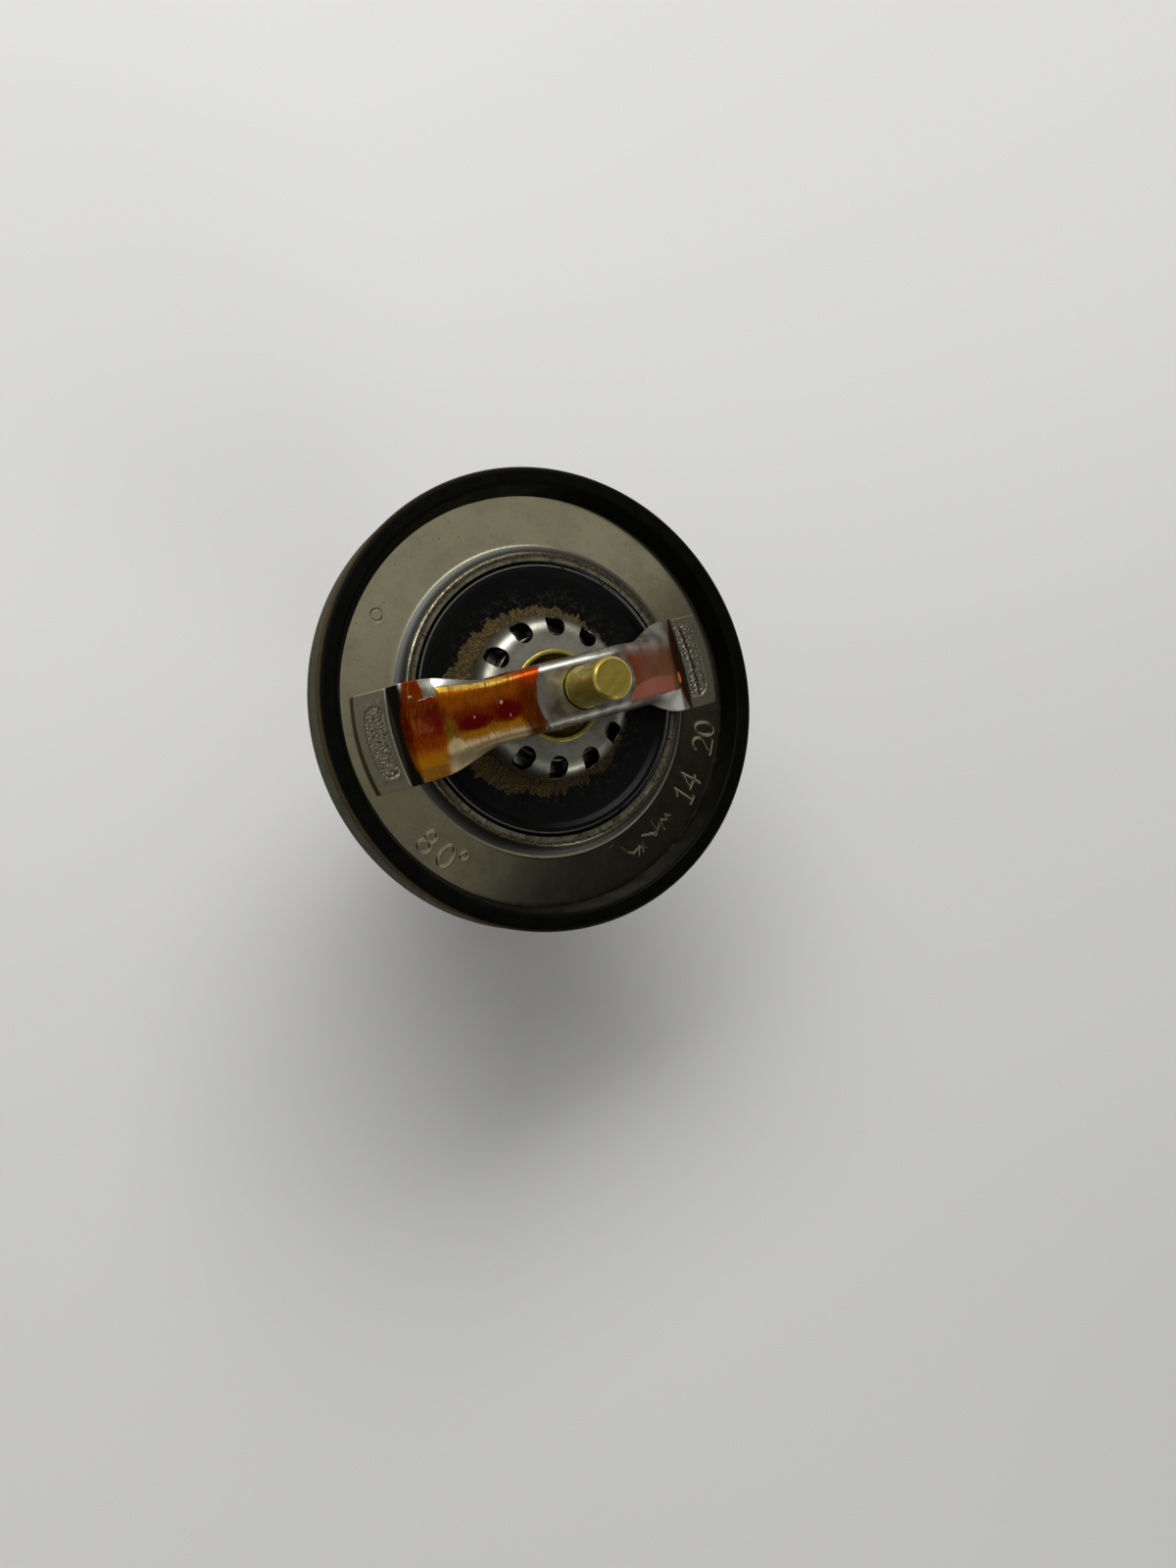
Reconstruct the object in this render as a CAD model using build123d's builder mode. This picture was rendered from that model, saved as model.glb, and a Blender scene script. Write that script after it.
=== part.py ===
from build123d import *
import math
import os

os.makedirs("parts", exist_ok=True)

# Engine coolant thermostat. Millimetres. The origin lies on the axis, in the front face of the
# flange. +Z points out through the bridge, and the bridge lies along X.

# ---- rubber seal ring ----
seal_radius = 33.9            # outer wall
seal_wall = 1.9               # rubber beyond the flange's rim
seal_lip = 1.8                # how far the rubber grips the flange's faces
seal_front = 3.1              # height in front of the flange face
seal_back = 4.6               # depth behind the flange face
seal_taper = 1.1              # how far the lip walls lean outwards
seal_edge_round = 0.8         # rounding of the four outer corners
seal_groove_height = 1.9      # centre of the moulded groove round the outer wall
seal_groove_width = 0.7
seal_groove_depth = 0.35

# ---- flange ----
flange_land = 8.6             # flat ring between the neck's flare and the rim
flange_sheet = 1.3
neck_height = 1.9             # how far the neck stands in front of the flange
neck_edge_break = 0.2         # worn outer corner of the sheared edge

# ---- bridge ----
bridge_sheet = 1.1
bridge_width = 14.1           # across the flat feet
bridge_top = 14.0             # top of the crown above the flange
crown_flat = 5.5              # half length of the level crown
crown_bend = 9.0              # outer bend radius where the crown turns into a leg
knee_inset = 1.4              # corner between leg and riser, inside the neck's flare
knee_z = 3.4
knee_bend = 1.6
fold_inset = 0.1              # corner between riser and foot, inside the neck's flare
fold_bend = 0.7
foot_gap = 1.5                # between the round ends of the feet and the rubber
spine_margin = 0.2            # the sleeve's shoulder beyond the section's flat middle
roll_radius = 1.4             # outer radius of the rolled edges
roll_angle_crown = 80.0       # degrees the edges are rolled down at the crown
strip_crown = 6.2             # half of the strip's flattened width at the crown
bridge_hole_break = 0.2       # broken upper edge of the hole
weld_length = 10.6            # knurled weld mark on each foot
weld_width = 3.0
weld_depth = 0.2
weld_inset = 3.0              # from the foot's round end to the middle of the mark

# ---- piston sleeve and piston ----
sleeve_radius = 2.85
sleeve_stand = 9.1            # how far it stands above the bridge
sleeve_step = 0.1             # radius that the fitted step adds to the sleeve
sleeve_step_height = 0.45     # of it above the bridge
sleeve_hole_clearance = 0.05  # between the step and the bridge hole
sleeve_shoulder_lip = 0.35    # what bears against the underside of the crown
sleeve_shoulder_break = 0.2   # clears the rolled corner inside the crown
sleeve_shoulder = 1.5
sleeve_seat_gap = 0.02        # under the crown, which bows by less than this
sleeve_skirt_relief = 0.05    # radius turned off the lower end
sleeve_skirt = 3.4
sleeve_chamfer = 0.35
sleeve_end_wall = 2.5
piston_radius = 1.9
piston_reach = 20.0           # from the flange's front face to the tip
piston_tip_radius = 0.8
piston_tip_length = 2.0
piston_seat_clearance = 0.02
piston_running_clearance = 0.03

# ---- valve disc ----
valve_sheet = 1.0
valve_hub_z = 0.8             # top of the flat hub
valve_hub_land = 1.4          # flat hub outside the cap
valve_rim_gap = 0.55          # between the bright rim and the neck's bore
valve_rim_drop = 0.15         # of the rim below the neck's edge
valve_rim_width = 0.75        # of the rim's level crest
valve_web_rise = 0.55         # rise of the web towards the rim
valve_skirt_z = -0.9          # lower end of the conical seat
valve_seat_gap = 0.06
relief_hole_radius = 1.0
relief_hole_inset = 1.5       # from the relief plate's rim to the holes' circle
relief_hole_count = 6

# ---- perforated cap ----
cap_radius = 12.0
cap_top = 5.0
cap_sheet = 0.8
cap_shoulder = 2.7            # outer radius of the rounded shoulder
cap_hole_count = 12
cap_hole_inset = 1.75         # from the cap's wall to the holes' circle
cap_hole_width = 2.4
cap_hole_length = 2.9
cap_hole_turn = 15.0          # degrees from the bridge to the first hole

# ---- relief valve under the cap ----
relief_plate_clearance = 0.4  # round the collar's neck
relief_wall_clearance = 0.3   # inside the cap's wall
relief_plate_sheet = 0.5
relief_seat_gap = 0.03
relief_spring_inset = 0.2     # from the start of the cap's shoulder to the wire's centre
relief_spring_wire = 0.35
relief_spring_turns = 1

# ---- wax element ----
collar_neck_radius = 6.0
collar_rim_roll = 0.65        # edge rolled out over the cap
collar_rim_height = 0.3
collar_rim_wall = 0.9         # round the recess
collar_recess_floor = 1.5
collar_step = 2.2             # radius that the shoulder adds to the neck
collar_shoulder = 1.8
collar_groove_depth = 0.8
collar_groove = 1.4
collar_flange = 1.2
collar_fit = 0.05             # clearance of what sits on the collar
cup_wall = 0.8
cup_body_radius = 7.0
cup_end = 6.0                 # from the boot's closed end to the cup's underside
cup_corner = 2.0
cup_crimp_share = 0.6         # rounding of the crimped mouth, share of the wall
wax_fit = 0.02
boot_clearance = 0.05         # round the piston, beyond the guide bore
boot_flange = 1.5
boot_radius = 3.4
boot_end = 4.0                # from the piston's tip to the boot's closed end
backup_radius = 4.2
backup_sheet = 0.6

# ---- lower frame ----
frame_sheet = 1.3
frame_width = 12.0
frame_leg_inset = 0.9         # inner face of the upright legs, inside the neck's flare
frame_knee_z = -13.5          # where the legs start to lean inwards
frame_base_lift = 3.0         # of the base above the cup's underside
frame_base_land = 2.4         # outside the main spring
frame_corner_inset = 0.9      # where the leaning legs meet the base, inside its rim
frame_bend = 1.6
frame_knee_bend = 4.0
frame_guide_clearance = 0.25
frame_guide_height = 3.0
frame_guide_wall = 1.0

# ---- main spring ----
main_spring_gap = 0.95        # between its coils and the cup's crimped mouth
main_spring_wire = 1.1
main_spring_turns = 4         # between the closed end coils
spring_seat_gap = 0.05
spring_ground_share = 0.35    # part of the wire's radius ground off at each end
spring_closing_step = 1.04    # pitch of a closed coil, in wire diameters

# ---- bypass valve ----
stem_radius = 2.6
stem_flange_radius = 6.6
stem_flange = 1.2
stem_end_land = 0.76          # below the clip's groove
stem_groove_radius = 2.1
stem_chamfer = 0.4
bypass_radius = 17.5
bypass_sheet = 1.2
bypass_rim_width = 5.1        # of the flat face that closes the port
bypass_cone_offset = 0.45     # how far the cone's two faces stand apart along the disc
bypass_edge_round = 0.3
bypass_cone = 1.5             # radius between the rim and the raised middle
bypass_plate_rise = 4.4       # of the middle's top over the closing face
bypass_drop = 12.4            # from the stem's flange to the middle's top
bypass_bush_height = 2.0
bypass_bush_wall = 1.1
bypass_running_clearance = 0.05
bypass_spring_wire = 0.6
bypass_spring_large = 8.7     # mean radius on the disc
bypass_spring_small = 5.2     # mean radius under the stem's flange
bypass_spring_turns = 3
thrust_washer_radius = 5.2
thrust_washer_sheet = 0.8
clip_radius = 4.7
clip_sheet = 0.8
clip_mouth_share = 0.85       # of the groove's diameter, the clip's open side
clip_notch_radius = 0.8
clip_notch_turn = 115.0       # degrees from the mouth to the first notch
clip_groove_clearance = 0.1
bypass_stack_gap = 0.04

tiny = 0.001                  # tolerance when an edge is found by its radius

# ---- radii and heights that several pieces share ----
flange_radius = seal_radius - seal_wall
seal_lip_radius = flange_radius - seal_lip
neck_bend_x = flange_radius - flange_land
neck_radius = neck_bend_x - neck_height - flange_sheet
foot_radius = seal_lip_radius - foot_gap
sleeve_step_radius = sleeve_radius + sleeve_step
sleeve_shoulder_radius = sleeve_step_radius + sleeve_shoulder_lip
bridge_hole_radius = sleeve_step_radius + sleeve_hole_clearance
spine_half_width = sleeve_shoulder_radius - spine_margin
collar_shoulder_radius = collar_neck_radius + collar_step
piston_tip_z = -piston_reach
boot_bottom_z = piston_tip_z - boot_end
cup_bottom_z = boot_bottom_z - cup_end


def rings(piece, radius):
    """The circular edges of a piece that have this radius, the lowest first."""
    circles = piece.edges().filter_by(GeomType.CIRCLE)
    return circles.filter_by(lambda ring: abs(ring.radius - radius) < tiny).sort_by(Axis.Z)


# Seal ring: one moulded U-section that grips the flange's rim from both sides.
seal_top_inner = seal_lip_radius + seal_taper
with BuildPart() as seal_ring:
    with BuildSketch(Plane.XZ) as seal_section:
        with BuildLine():
            Polyline(
                (seal_lip_radius, 0),
                (seal_top_inner, seal_front),
                (seal_radius, seal_front),
                (seal_radius, -seal_back),
                (seal_top_inner, -seal_back),
                (seal_lip_radius, -flange_sheet),
                close=True,
            )
        make_face()
        seal_corners = seal_section.vertices().group_by(Axis.Y)
        fillet(seal_corners[0] + seal_corners[-1], seal_edge_round)
        with Locations(((seal_lip_radius + flange_radius) / 2, -flange_sheet / 2)):
            Rectangle(flange_radius - seal_lip_radius, flange_sheet, mode=Mode.SUBTRACT)
        with Locations((seal_radius, seal_groove_height)):
            Rectangle(2 * seal_groove_depth, seal_groove_width, mode=Mode.SUBTRACT)
    revolve(axis=Axis.Z)

# Flange: flat sheet drawn up into a quarter-round neck with a sheared edge.
with BuildPart() as flange:
    with BuildSketch(Plane.XZ) as flange_section:
        with BuildLine():
            Line((flange_radius, 0), (neck_bend_x, 0))
            CenterArc((neck_bend_x, neck_height), neck_height, 270, -90)
            Line((neck_radius + flange_sheet, neck_height), (neck_radius, neck_height))
            CenterArc((neck_bend_x, neck_height), neck_height + flange_sheet, 180, 90)
            Line((neck_bend_x, -flange_sheet), (flange_radius, -flange_sheet))
            Line((flange_radius, -flange_sheet), (flange_radius, 0))
        make_face()
        neck_corner = flange_section.vertices().group_by(Axis.Y)[-1].sort_by(Axis.X)[-1]
        chamfer(neck_corner, neck_edge_break)
    revolve(axis=Axis.Z)


def shifted_line(points, distance):
    """The corners of a bent sheet's other face, to the right of its first face."""
    turns = [
        math.atan2(end[1] - start[1], end[0] - start[0])
        for start, end in zip(points, points[1:])
    ]
    turns = [turns[0]] + turns + [turns[-1]]
    shifted = []
    for (x, y), before, after in zip(points, turns, turns[1:]):
        middle = (before + after) / 2
        reach = distance / math.cos((after - before) / 2)
        shifted.append((x + reach * math.sin(middle), y - reach * math.cos(middle)))
    return shifted


# Bridge: a strip whose edges are rolled down over the crown and open out flat at the feet.
knee_x = neck_bend_x - knee_inset
fold_x = neck_bend_x - fold_inset
leg_corner_x = crown_flat + crown_bend * math.tan(
    0.5 * math.atan2(bridge_top - knee_z, knee_x - crown_flat)
)
leg_angle = math.atan2(bridge_top - knee_z, knee_x - leg_corner_x)
bend_start_x = leg_corner_x - crown_bend * math.tan(leg_angle / 2)


def bridge_station(distance):
    """Point on the bridge's top line and its slope, from the distance along it."""
    arc_length = crown_bend * leg_angle
    if distance <= bend_start_x:
        return distance, bridge_top, 0.0
    if distance <= bend_start_x + arc_length:
        turn = (distance - bend_start_x) / crown_bend
        return (
            bend_start_x + crown_bend * math.sin(turn),
            bridge_top - crown_bend * (1 - math.cos(turn)),
            turn,
        )
    rest = distance - bend_start_x - arc_length
    arc_x = bend_start_x + crown_bend * math.sin(leg_angle)
    arc_z = bridge_top - crown_bend * (1 - math.cos(leg_angle))
    return arc_x + rest * math.cos(leg_angle), arc_z - rest * math.sin(leg_angle), leg_angle


leg_straight = math.hypot(knee_x - leg_corner_x, bridge_top - knee_z)
leg_straight -= crown_bend * math.tan(leg_angle / 2)
spine_length = bend_start_x + crown_bend * leg_angle + leg_straight
station_count = 13            # sections along half of the bridge
roll_hold = 0.6               # share of the spine that keeps its full roll
roll_left = 0.06              # roll left over where the flat foot begins


def roll_share(share):
    """How much of the full roll is left, from the share of the spine passed."""
    passed = max(0.0, (share - roll_hold) / (1 - roll_hold))
    return 1 - (1 - roll_left) * passed * passed * (3 - 2 * passed)


def draw_roll(angle, strip):
    """Closed outline of the strip's section, its edges rolled down by angle."""
    straight = strip - spine_half_width - roll_radius * angle
    inner_radius = roll_radius - bridge_sheet
    turned = math.degrees(angle)
    ends = {}
    for name, radius in (("outer", roll_radius), ("inner", inner_radius)):
        arc_x = spine_half_width + radius * math.sin(angle)
        arc_y = -roll_radius + radius * math.cos(angle)
        tip_x = arc_x + straight * math.cos(angle)
        tip_y = arc_y - straight * math.sin(angle)
        Line((-spine_half_width, radius - roll_radius), (spine_half_width, radius - roll_radius))
        for side in (-1, 1):
            centre = (side * spine_half_width, -roll_radius)
            CenterArc(centre, radius, 90, -side * turned)
            Line((side * arc_x, arc_y), (side * tip_x, tip_y))
        ends[name] = (tip_x, tip_y)
    for side in (-1, 1):
        outer_end = (side * ends["outer"][0], ends["outer"][1])
        inner_end = (side * ends["inner"][0], ends["inner"][1])
        Line(outer_end, inner_end)


flat_start = 0.93               # share of the spine where the flat foot begins
flat_x, flat_z, flat_slope = bridge_station(flat_start * spine_length)
foot_line = [
    (flat_x, flat_z),
    (knee_x, knee_z),
    (fold_x, bridge_sheet),
    (foot_radius + bridge_sheet, bridge_sheet),
]
with BuildPart() as bridge:
    with BuildSketch(Plane.XZ) as foot_section:
        with BuildLine():
            foot_under = shifted_line(foot_line, bridge_sheet)
            FilletPolyline(foot_line, radius=[knee_bend, fold_bend])
            FilletPolyline(foot_under, radius=[knee_bend - bridge_sheet, fold_bend + bridge_sheet])
            Line(foot_line[0], foot_under[0])
            Line(foot_line[-1], foot_under[-1])
        make_face()
    extrude(amount=bridge_width / 2, both=True)
    with BuildSketch(Plane.XY):
        Rectangle(4 * foot_radius, 2 * bridge_width)
        Circle(foot_radius, mode=Mode.SUBTRACT)
    extrude(amount=bridge_top, mode=Mode.SUBTRACT)
    with BuildSketch(Plane.XY.offset(bridge_sheet)):
        with Locations((foot_radius - weld_inset, 0)):
            SlotOverall(weld_length, weld_width, rotation=90)
    extrude(amount=-weld_depth, mode=Mode.SUBTRACT)
    for index in range(station_count + 1):
        share = flat_start * index / station_count
        x, z, slope = bridge_station(share * spine_length)
        section_plane = Plane(
            origin=(x, 0, z), x_dir=(0, 1, 0), z_dir=(math.cos(slope), 0, -math.sin(slope))
        )
        roll = roll_share(index / station_count)
        strip = strip_crown + (bridge_width / 2 - strip_crown) * (1 - roll)
        with BuildSketch(section_plane):
            with BuildLine():
                draw_roll(math.radians(roll_angle_crown * roll), strip)
            make_face()
    loft()
    mirror(about=Plane.YZ)
    with BuildSketch(Plane.XY):
        Circle(bridge_hole_radius)
    extrude(amount=2 * bridge_top, mode=Mode.SUBTRACT)
    with BuildSketch(Plane.XY.offset(bridge_top - bridge_hole_break)):
        Circle(bridge_hole_radius)
    with BuildSketch(Plane.XY.offset(bridge_top + bridge_hole_break)):
        Circle(bridge_hole_radius + 2 * bridge_hole_break)
    loft(mode=Mode.SUBTRACT)

# Piston sleeve: blind brass sleeve. Its shoulder takes the piston's thrust under the crown.
crown_underside = bridge_top - bridge_sheet
sleeve_shoulder_z = crown_underside - sleeve_seat_gap - sleeve_shoulder
sleeve_foot_z = sleeve_shoulder_z - sleeve_skirt
sleeve_top = bridge_top + sleeve_stand
piston_top_z = sleeve_top - sleeve_end_wall
with BuildPart() as piston_sleeve:
    with BuildSketch(Plane.XY.offset(sleeve_foot_z)):
        Circle(sleeve_radius - sleeve_skirt_relief)
    extrude(amount=sleeve_skirt)
    with BuildSketch(Plane.XY.offset(sleeve_shoulder_z)):
        Circle(sleeve_shoulder_radius)
    extrude(amount=sleeve_shoulder)
    chamfer(piston_sleeve.edges().group_by(Axis.Z)[-1], sleeve_shoulder_break)
    with BuildSketch(Plane.XY.offset(sleeve_shoulder_z)):
        Circle(sleeve_step_radius)
    extrude(amount=bridge_top + sleeve_step_height - sleeve_shoulder_z)
    with BuildSketch(Plane.XY.offset(sleeve_shoulder_z)):
        Circle(sleeve_radius)
    extrude(amount=sleeve_top - sleeve_shoulder_z)
    chamfer(piston_sleeve.edges().group_by(Axis.Z)[-1], sleeve_chamfer)
    with BuildSketch(Plane.XY.offset(sleeve_foot_z)):
        Circle(piston_radius + piston_seat_clearance)
    extrude(amount=piston_top_z - sleeve_foot_z, mode=Mode.SUBTRACT)

# Piston: ground steel pin with a tapered tip, held still by the sleeve.
with BuildPart() as piston:
    with BuildSketch(Plane.XZ):
        Polygon(
            (0, piston_tip_z),
            (piston_tip_radius, piston_tip_z),
            (piston_radius, piston_tip_z + piston_tip_length),
            (piston_radius, piston_top_z),
            (0, piston_top_z),
            align=None,
        )
    revolve(axis=Axis.Z)

# Valve disc: flat hub, dished web and a conical skirt that closes on the neck from behind.
valve_bore = collar_neck_radius + collar_fit
valve_hub_radius = cap_radius + valve_hub_land
valve_rim_radius = neck_radius - valve_rim_gap
valve_rim_z = neck_height - valve_rim_drop
valve_rim_inner = valve_rim_radius - valve_rim_width
seat_reach = neck_height + flange_sheet + valve_seat_gap
seat_dx = neck_bend_x - valve_rim_radius
seat_dz = neck_height - valve_rim_z
seat_angle = math.asin(seat_reach / math.hypot(seat_dx, seat_dz)) - math.atan2(seat_dz, seat_dx)
skirt_radius = valve_rim_radius + (valve_rim_z - valve_skirt_z) / math.tan(seat_angle)
skirt_inner = skirt_radius - valve_sheet / math.sin(seat_angle)
web_z = valve_hub_z + valve_web_rise
cap_inner = cap_radius - cap_sheet
relief_plate_outer = cap_inner - relief_wall_clearance
with BuildPart() as valve_disc:
    with BuildSketch(Plane.XZ):
        Polygon(
            (valve_bore, valve_hub_z),
            (valve_hub_radius, valve_hub_z),
            (valve_rim_inner - valve_rim_width, web_z),
            (valve_rim_inner, valve_rim_z),
            (valve_rim_radius, valve_rim_z),
            (skirt_radius, valve_skirt_z),
            (skirt_inner, valve_skirt_z),
            (valve_rim_inner, web_z - valve_sheet),
            (valve_hub_radius, valve_hub_z - valve_sheet),
            (valve_bore, valve_hub_z - valve_sheet),
            align=None,
        )
    revolve(axis=Axis.Z)
    with BuildSketch(Plane.XY.offset(valve_hub_z - valve_sheet)):
        with PolarLocations(relief_plate_outer - relief_hole_inset, relief_hole_count):
            Circle(relief_hole_radius)
    extrude(amount=valve_sheet, mode=Mode.SUBTRACT)

# Perforated cap: drawn cup with round-ended slots over its shoulder.
shoulder_x = cap_radius - cap_shoulder
shoulder_z = cap_top - cap_shoulder
cap_ceiling = cap_top - cap_sheet
with BuildPart() as perforated_cap:
    with BuildSketch(Plane.XZ):
        with BuildLine():
            Line((valve_bore, cap_top), (shoulder_x, cap_top))
            CenterArc((shoulder_x, shoulder_z), cap_shoulder, 90, -90)
            Polyline(
                (cap_radius, shoulder_z),
                (cap_radius, valve_hub_z),
                (cap_inner, valve_hub_z),
                (cap_inner, shoulder_z),
            )
            CenterArc((shoulder_x, shoulder_z), cap_shoulder - cap_sheet, 0, 90)
            Polyline((shoulder_x, cap_ceiling), (valve_bore, cap_ceiling), (valve_bore, cap_top))
        make_face()
    revolve(axis=Axis.Z)
    with BuildSketch(Plane.XY.offset(shoulder_z)):
        with PolarLocations(
            cap_radius - cap_hole_inset, cap_hole_count, start_angle=cap_hole_turn
        ):
            SlotOverall(cap_hole_length, cap_hole_width)
    extrude(amount=cap_shoulder, mode=Mode.SUBTRACT)

# Relief plate: a ring over the disc's small holes, held down by its spring under the cap.
relief_plate_z = valve_hub_z + relief_seat_gap
with BuildPart() as relief_plate:
    with BuildSketch(Plane.XY.offset(relief_plate_z)):
        Circle(relief_plate_outer)
        Circle(collar_neck_radius + relief_plate_clearance, mode=Mode.SUBTRACT)
    extrude(amount=relief_plate_sheet)

# Element collar: turned brass body with a rolled rim, a guide bore and a crimping flange.
collar_shoulder_z = valve_hub_z - valve_sheet
collar_groove_z = collar_shoulder_z - collar_shoulder
collar_flange_z = collar_groove_z - collar_groove
collar_end_z = collar_flange_z - collar_flange
collar_rim_z = cap_top + collar_rim_height
collar_rim_radius = collar_neck_radius + collar_rim_roll
collar_recess_radius = collar_neck_radius - collar_rim_wall
collar_groove_radius = collar_shoulder_radius - collar_groove_depth
guide_radius = piston_radius + piston_running_clearance
with BuildPart() as element_collar:
    with BuildSketch(Plane.XZ):
        Polygon(
            (guide_radius, collar_end_z + backup_sheet),
            (guide_radius, collar_recess_floor),
            (collar_recess_radius, collar_recess_floor),
            (collar_recess_radius, cap_ceiling),
            (collar_rim_radius - collar_rim_height, collar_rim_z),
            (collar_rim_radius, collar_rim_z - collar_rim_height / 2),
            (collar_rim_radius, cap_top),
            (collar_neck_radius, cap_top),
            (collar_neck_radius, collar_shoulder_z),
            (collar_shoulder_radius, collar_shoulder_z),
            (collar_shoulder_radius, collar_groove_z),
            (collar_groove_radius, collar_groove_z),
            (collar_groove_radius, collar_flange_z),
            (collar_shoulder_radius, collar_flange_z),
            (collar_shoulder_radius, collar_end_z),
            (backup_radius + collar_fit, collar_end_z),
            (backup_radius + collar_fit, collar_end_z + backup_sheet),
            align=None,
        )
    revolve(axis=Axis.Z)

# Backup washer: hard plastic ring that keeps the rubber out of the guide bore.
with BuildPart() as backup_washer:
    with BuildSketch(Plane.XY.offset(collar_end_z)):
        Circle(backup_radius)
        Circle(guide_radius, mode=Mode.SUBTRACT)
    extrude(amount=backup_sheet)

# Rubber boot: flanged sleeve round the piston, closed at its lower end.
boot_flange_z = collar_end_z - boot_flange
boot_bore = guide_radius + boot_clearance
boot_wall = boot_radius - boot_bore
with BuildPart() as rubber_boot:
    with BuildSketch(Plane.XY.offset(boot_flange_z)):
        Circle(collar_shoulder_radius)
    extrude(amount=boot_flange)
    with BuildSketch(Plane.XY.offset(boot_bottom_z)):
        Circle(boot_radius)
    extrude(amount=boot_flange_z - boot_bottom_z)
    fillet(rubber_boot.edges().group_by(Axis.Z)[0], boot_wall)
    with BuildSketch(Plane.XY.offset(boot_bottom_z + boot_wall)):
        Circle(boot_bore)
    extrude(amount=collar_end_z - boot_bottom_z, mode=Mode.SUBTRACT)

# Wax cup: drawn cup whose mouth is crimped into the collar's groove.
cup_mouth_inner = collar_shoulder_radius + collar_fit
cup_mouth_radius = cup_mouth_inner + cup_wall
cup_body_inner = cup_body_radius - cup_wall
cup_lip_radius = collar_groove_radius + collar_fit
cup_lip_z = collar_flange_z + cup_wall
cup_floor_z = cup_bottom_z + cup_wall
with BuildPart() as wax_cup:
    with BuildSketch(Plane.XZ):
        Polygon(
            (0, cup_bottom_z),
            (cup_body_radius, cup_bottom_z),
            (cup_body_radius, boot_flange_z - cup_wall),
            (cup_mouth_radius, boot_flange_z - cup_wall),
            (cup_mouth_radius, cup_lip_z),
            (cup_lip_radius, cup_lip_z),
            (cup_lip_radius, collar_flange_z),
            (cup_mouth_inner, collar_flange_z),
            (cup_mouth_inner, boot_flange_z),
            (cup_body_inner, boot_flange_z),
            (cup_body_inner, cup_floor_z),
            (0, cup_floor_z),
            align=None,
        )
    revolve(axis=Axis.Z)
    fillet(wax_cup.edges().group_by(Axis.Z)[0], cup_corner)
    fillet(rings(wax_cup, cup_body_inner)[0], cup_corner - cup_wall)
    fillet(rings(wax_cup, cup_mouth_radius), cup_wall * cup_crimp_share)

# Wax charge: the wax and copper powder that fill the cup round the boot.
wax_radius = cup_body_inner - wax_fit
with BuildPart() as wax_charge:
    with BuildSketch(Plane.XY.offset(cup_floor_z + wax_fit)):
        Circle(wax_radius)
    extrude(amount=boot_flange_z - cup_floor_z - 2 * wax_fit)
    fillet(wax_charge.edges().group_by(Axis.Z)[0], cup_corner - cup_wall)
    with BuildSketch(Plane.XY.offset(boot_flange_z)):
        Circle(boot_radius + wax_fit)
    extrude(amount=boot_bottom_z - wax_fit - boot_flange_z, mode=Mode.SUBTRACT)

# Lower frame: a U-shaped strap welded behind the flange, with a round base that carries the
# main spring and guides the wax cup.
frame_foot_z = -flange_sheet
frame_leg_x = neck_bend_x - frame_leg_inset
frame_base_z = cup_bottom_z + frame_base_lift
main_spring_radius = cup_mouth_radius + main_spring_gap + main_spring_wire
frame_base_radius = main_spring_radius + main_spring_wire + frame_base_land
frame_base_corner = frame_base_radius - frame_corner_inset
frame_line = [
    (foot_radius + frame_sheet, frame_foot_z),
    (frame_leg_x, frame_foot_z),
    (frame_leg_x, frame_knee_z),
    (frame_base_corner, frame_base_z),
    (0, frame_base_z),
]
guide_hole_radius = cup_body_radius + frame_guide_clearance
with BuildPart() as lower_frame:
    with BuildSketch(Plane.XZ):
        with BuildLine():
            frame_under = shifted_line(frame_line, -frame_sheet)
            FilletPolyline(
                frame_line,
                radius=[frame_bend + frame_sheet, frame_knee_bend, frame_bend],
            )
            FilletPolyline(
                frame_under,
                radius=[frame_bend, frame_knee_bend + frame_sheet, frame_bend + frame_sheet],
            )
            Line(frame_line[0], frame_under[0])
            Line(frame_line[-1], frame_under[-1])
        make_face()
    extrude(amount=frame_width / 2, both=True)
    with BuildSketch(Plane.XY.offset(frame_foot_z)):
        Rectangle(4 * foot_radius, 2 * frame_width)
        Circle(foot_radius, mode=Mode.SUBTRACT)
    extrude(amount=-frame_sheet, mode=Mode.SUBTRACT)
    mirror(about=Plane.YZ)
    with BuildSketch(Plane.XY.offset(frame_base_z)):
        Circle(frame_base_radius)
    extrude(amount=-frame_sheet)
    with BuildSketch(Plane.XY.offset(frame_base_z)):
        Circle(guide_hole_radius + frame_guide_wall)
    extrude(amount=frame_guide_height)
    with BuildSketch(Plane.XY.offset(frame_base_z - frame_sheet)):
        Circle(guide_hole_radius)
    extrude(amount=frame_sheet + frame_guide_height, mode=Mode.SUBTRACT)
    fillet(rings(lower_frame, guide_hole_radius)[0], frame_guide_wall / 2)

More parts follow.
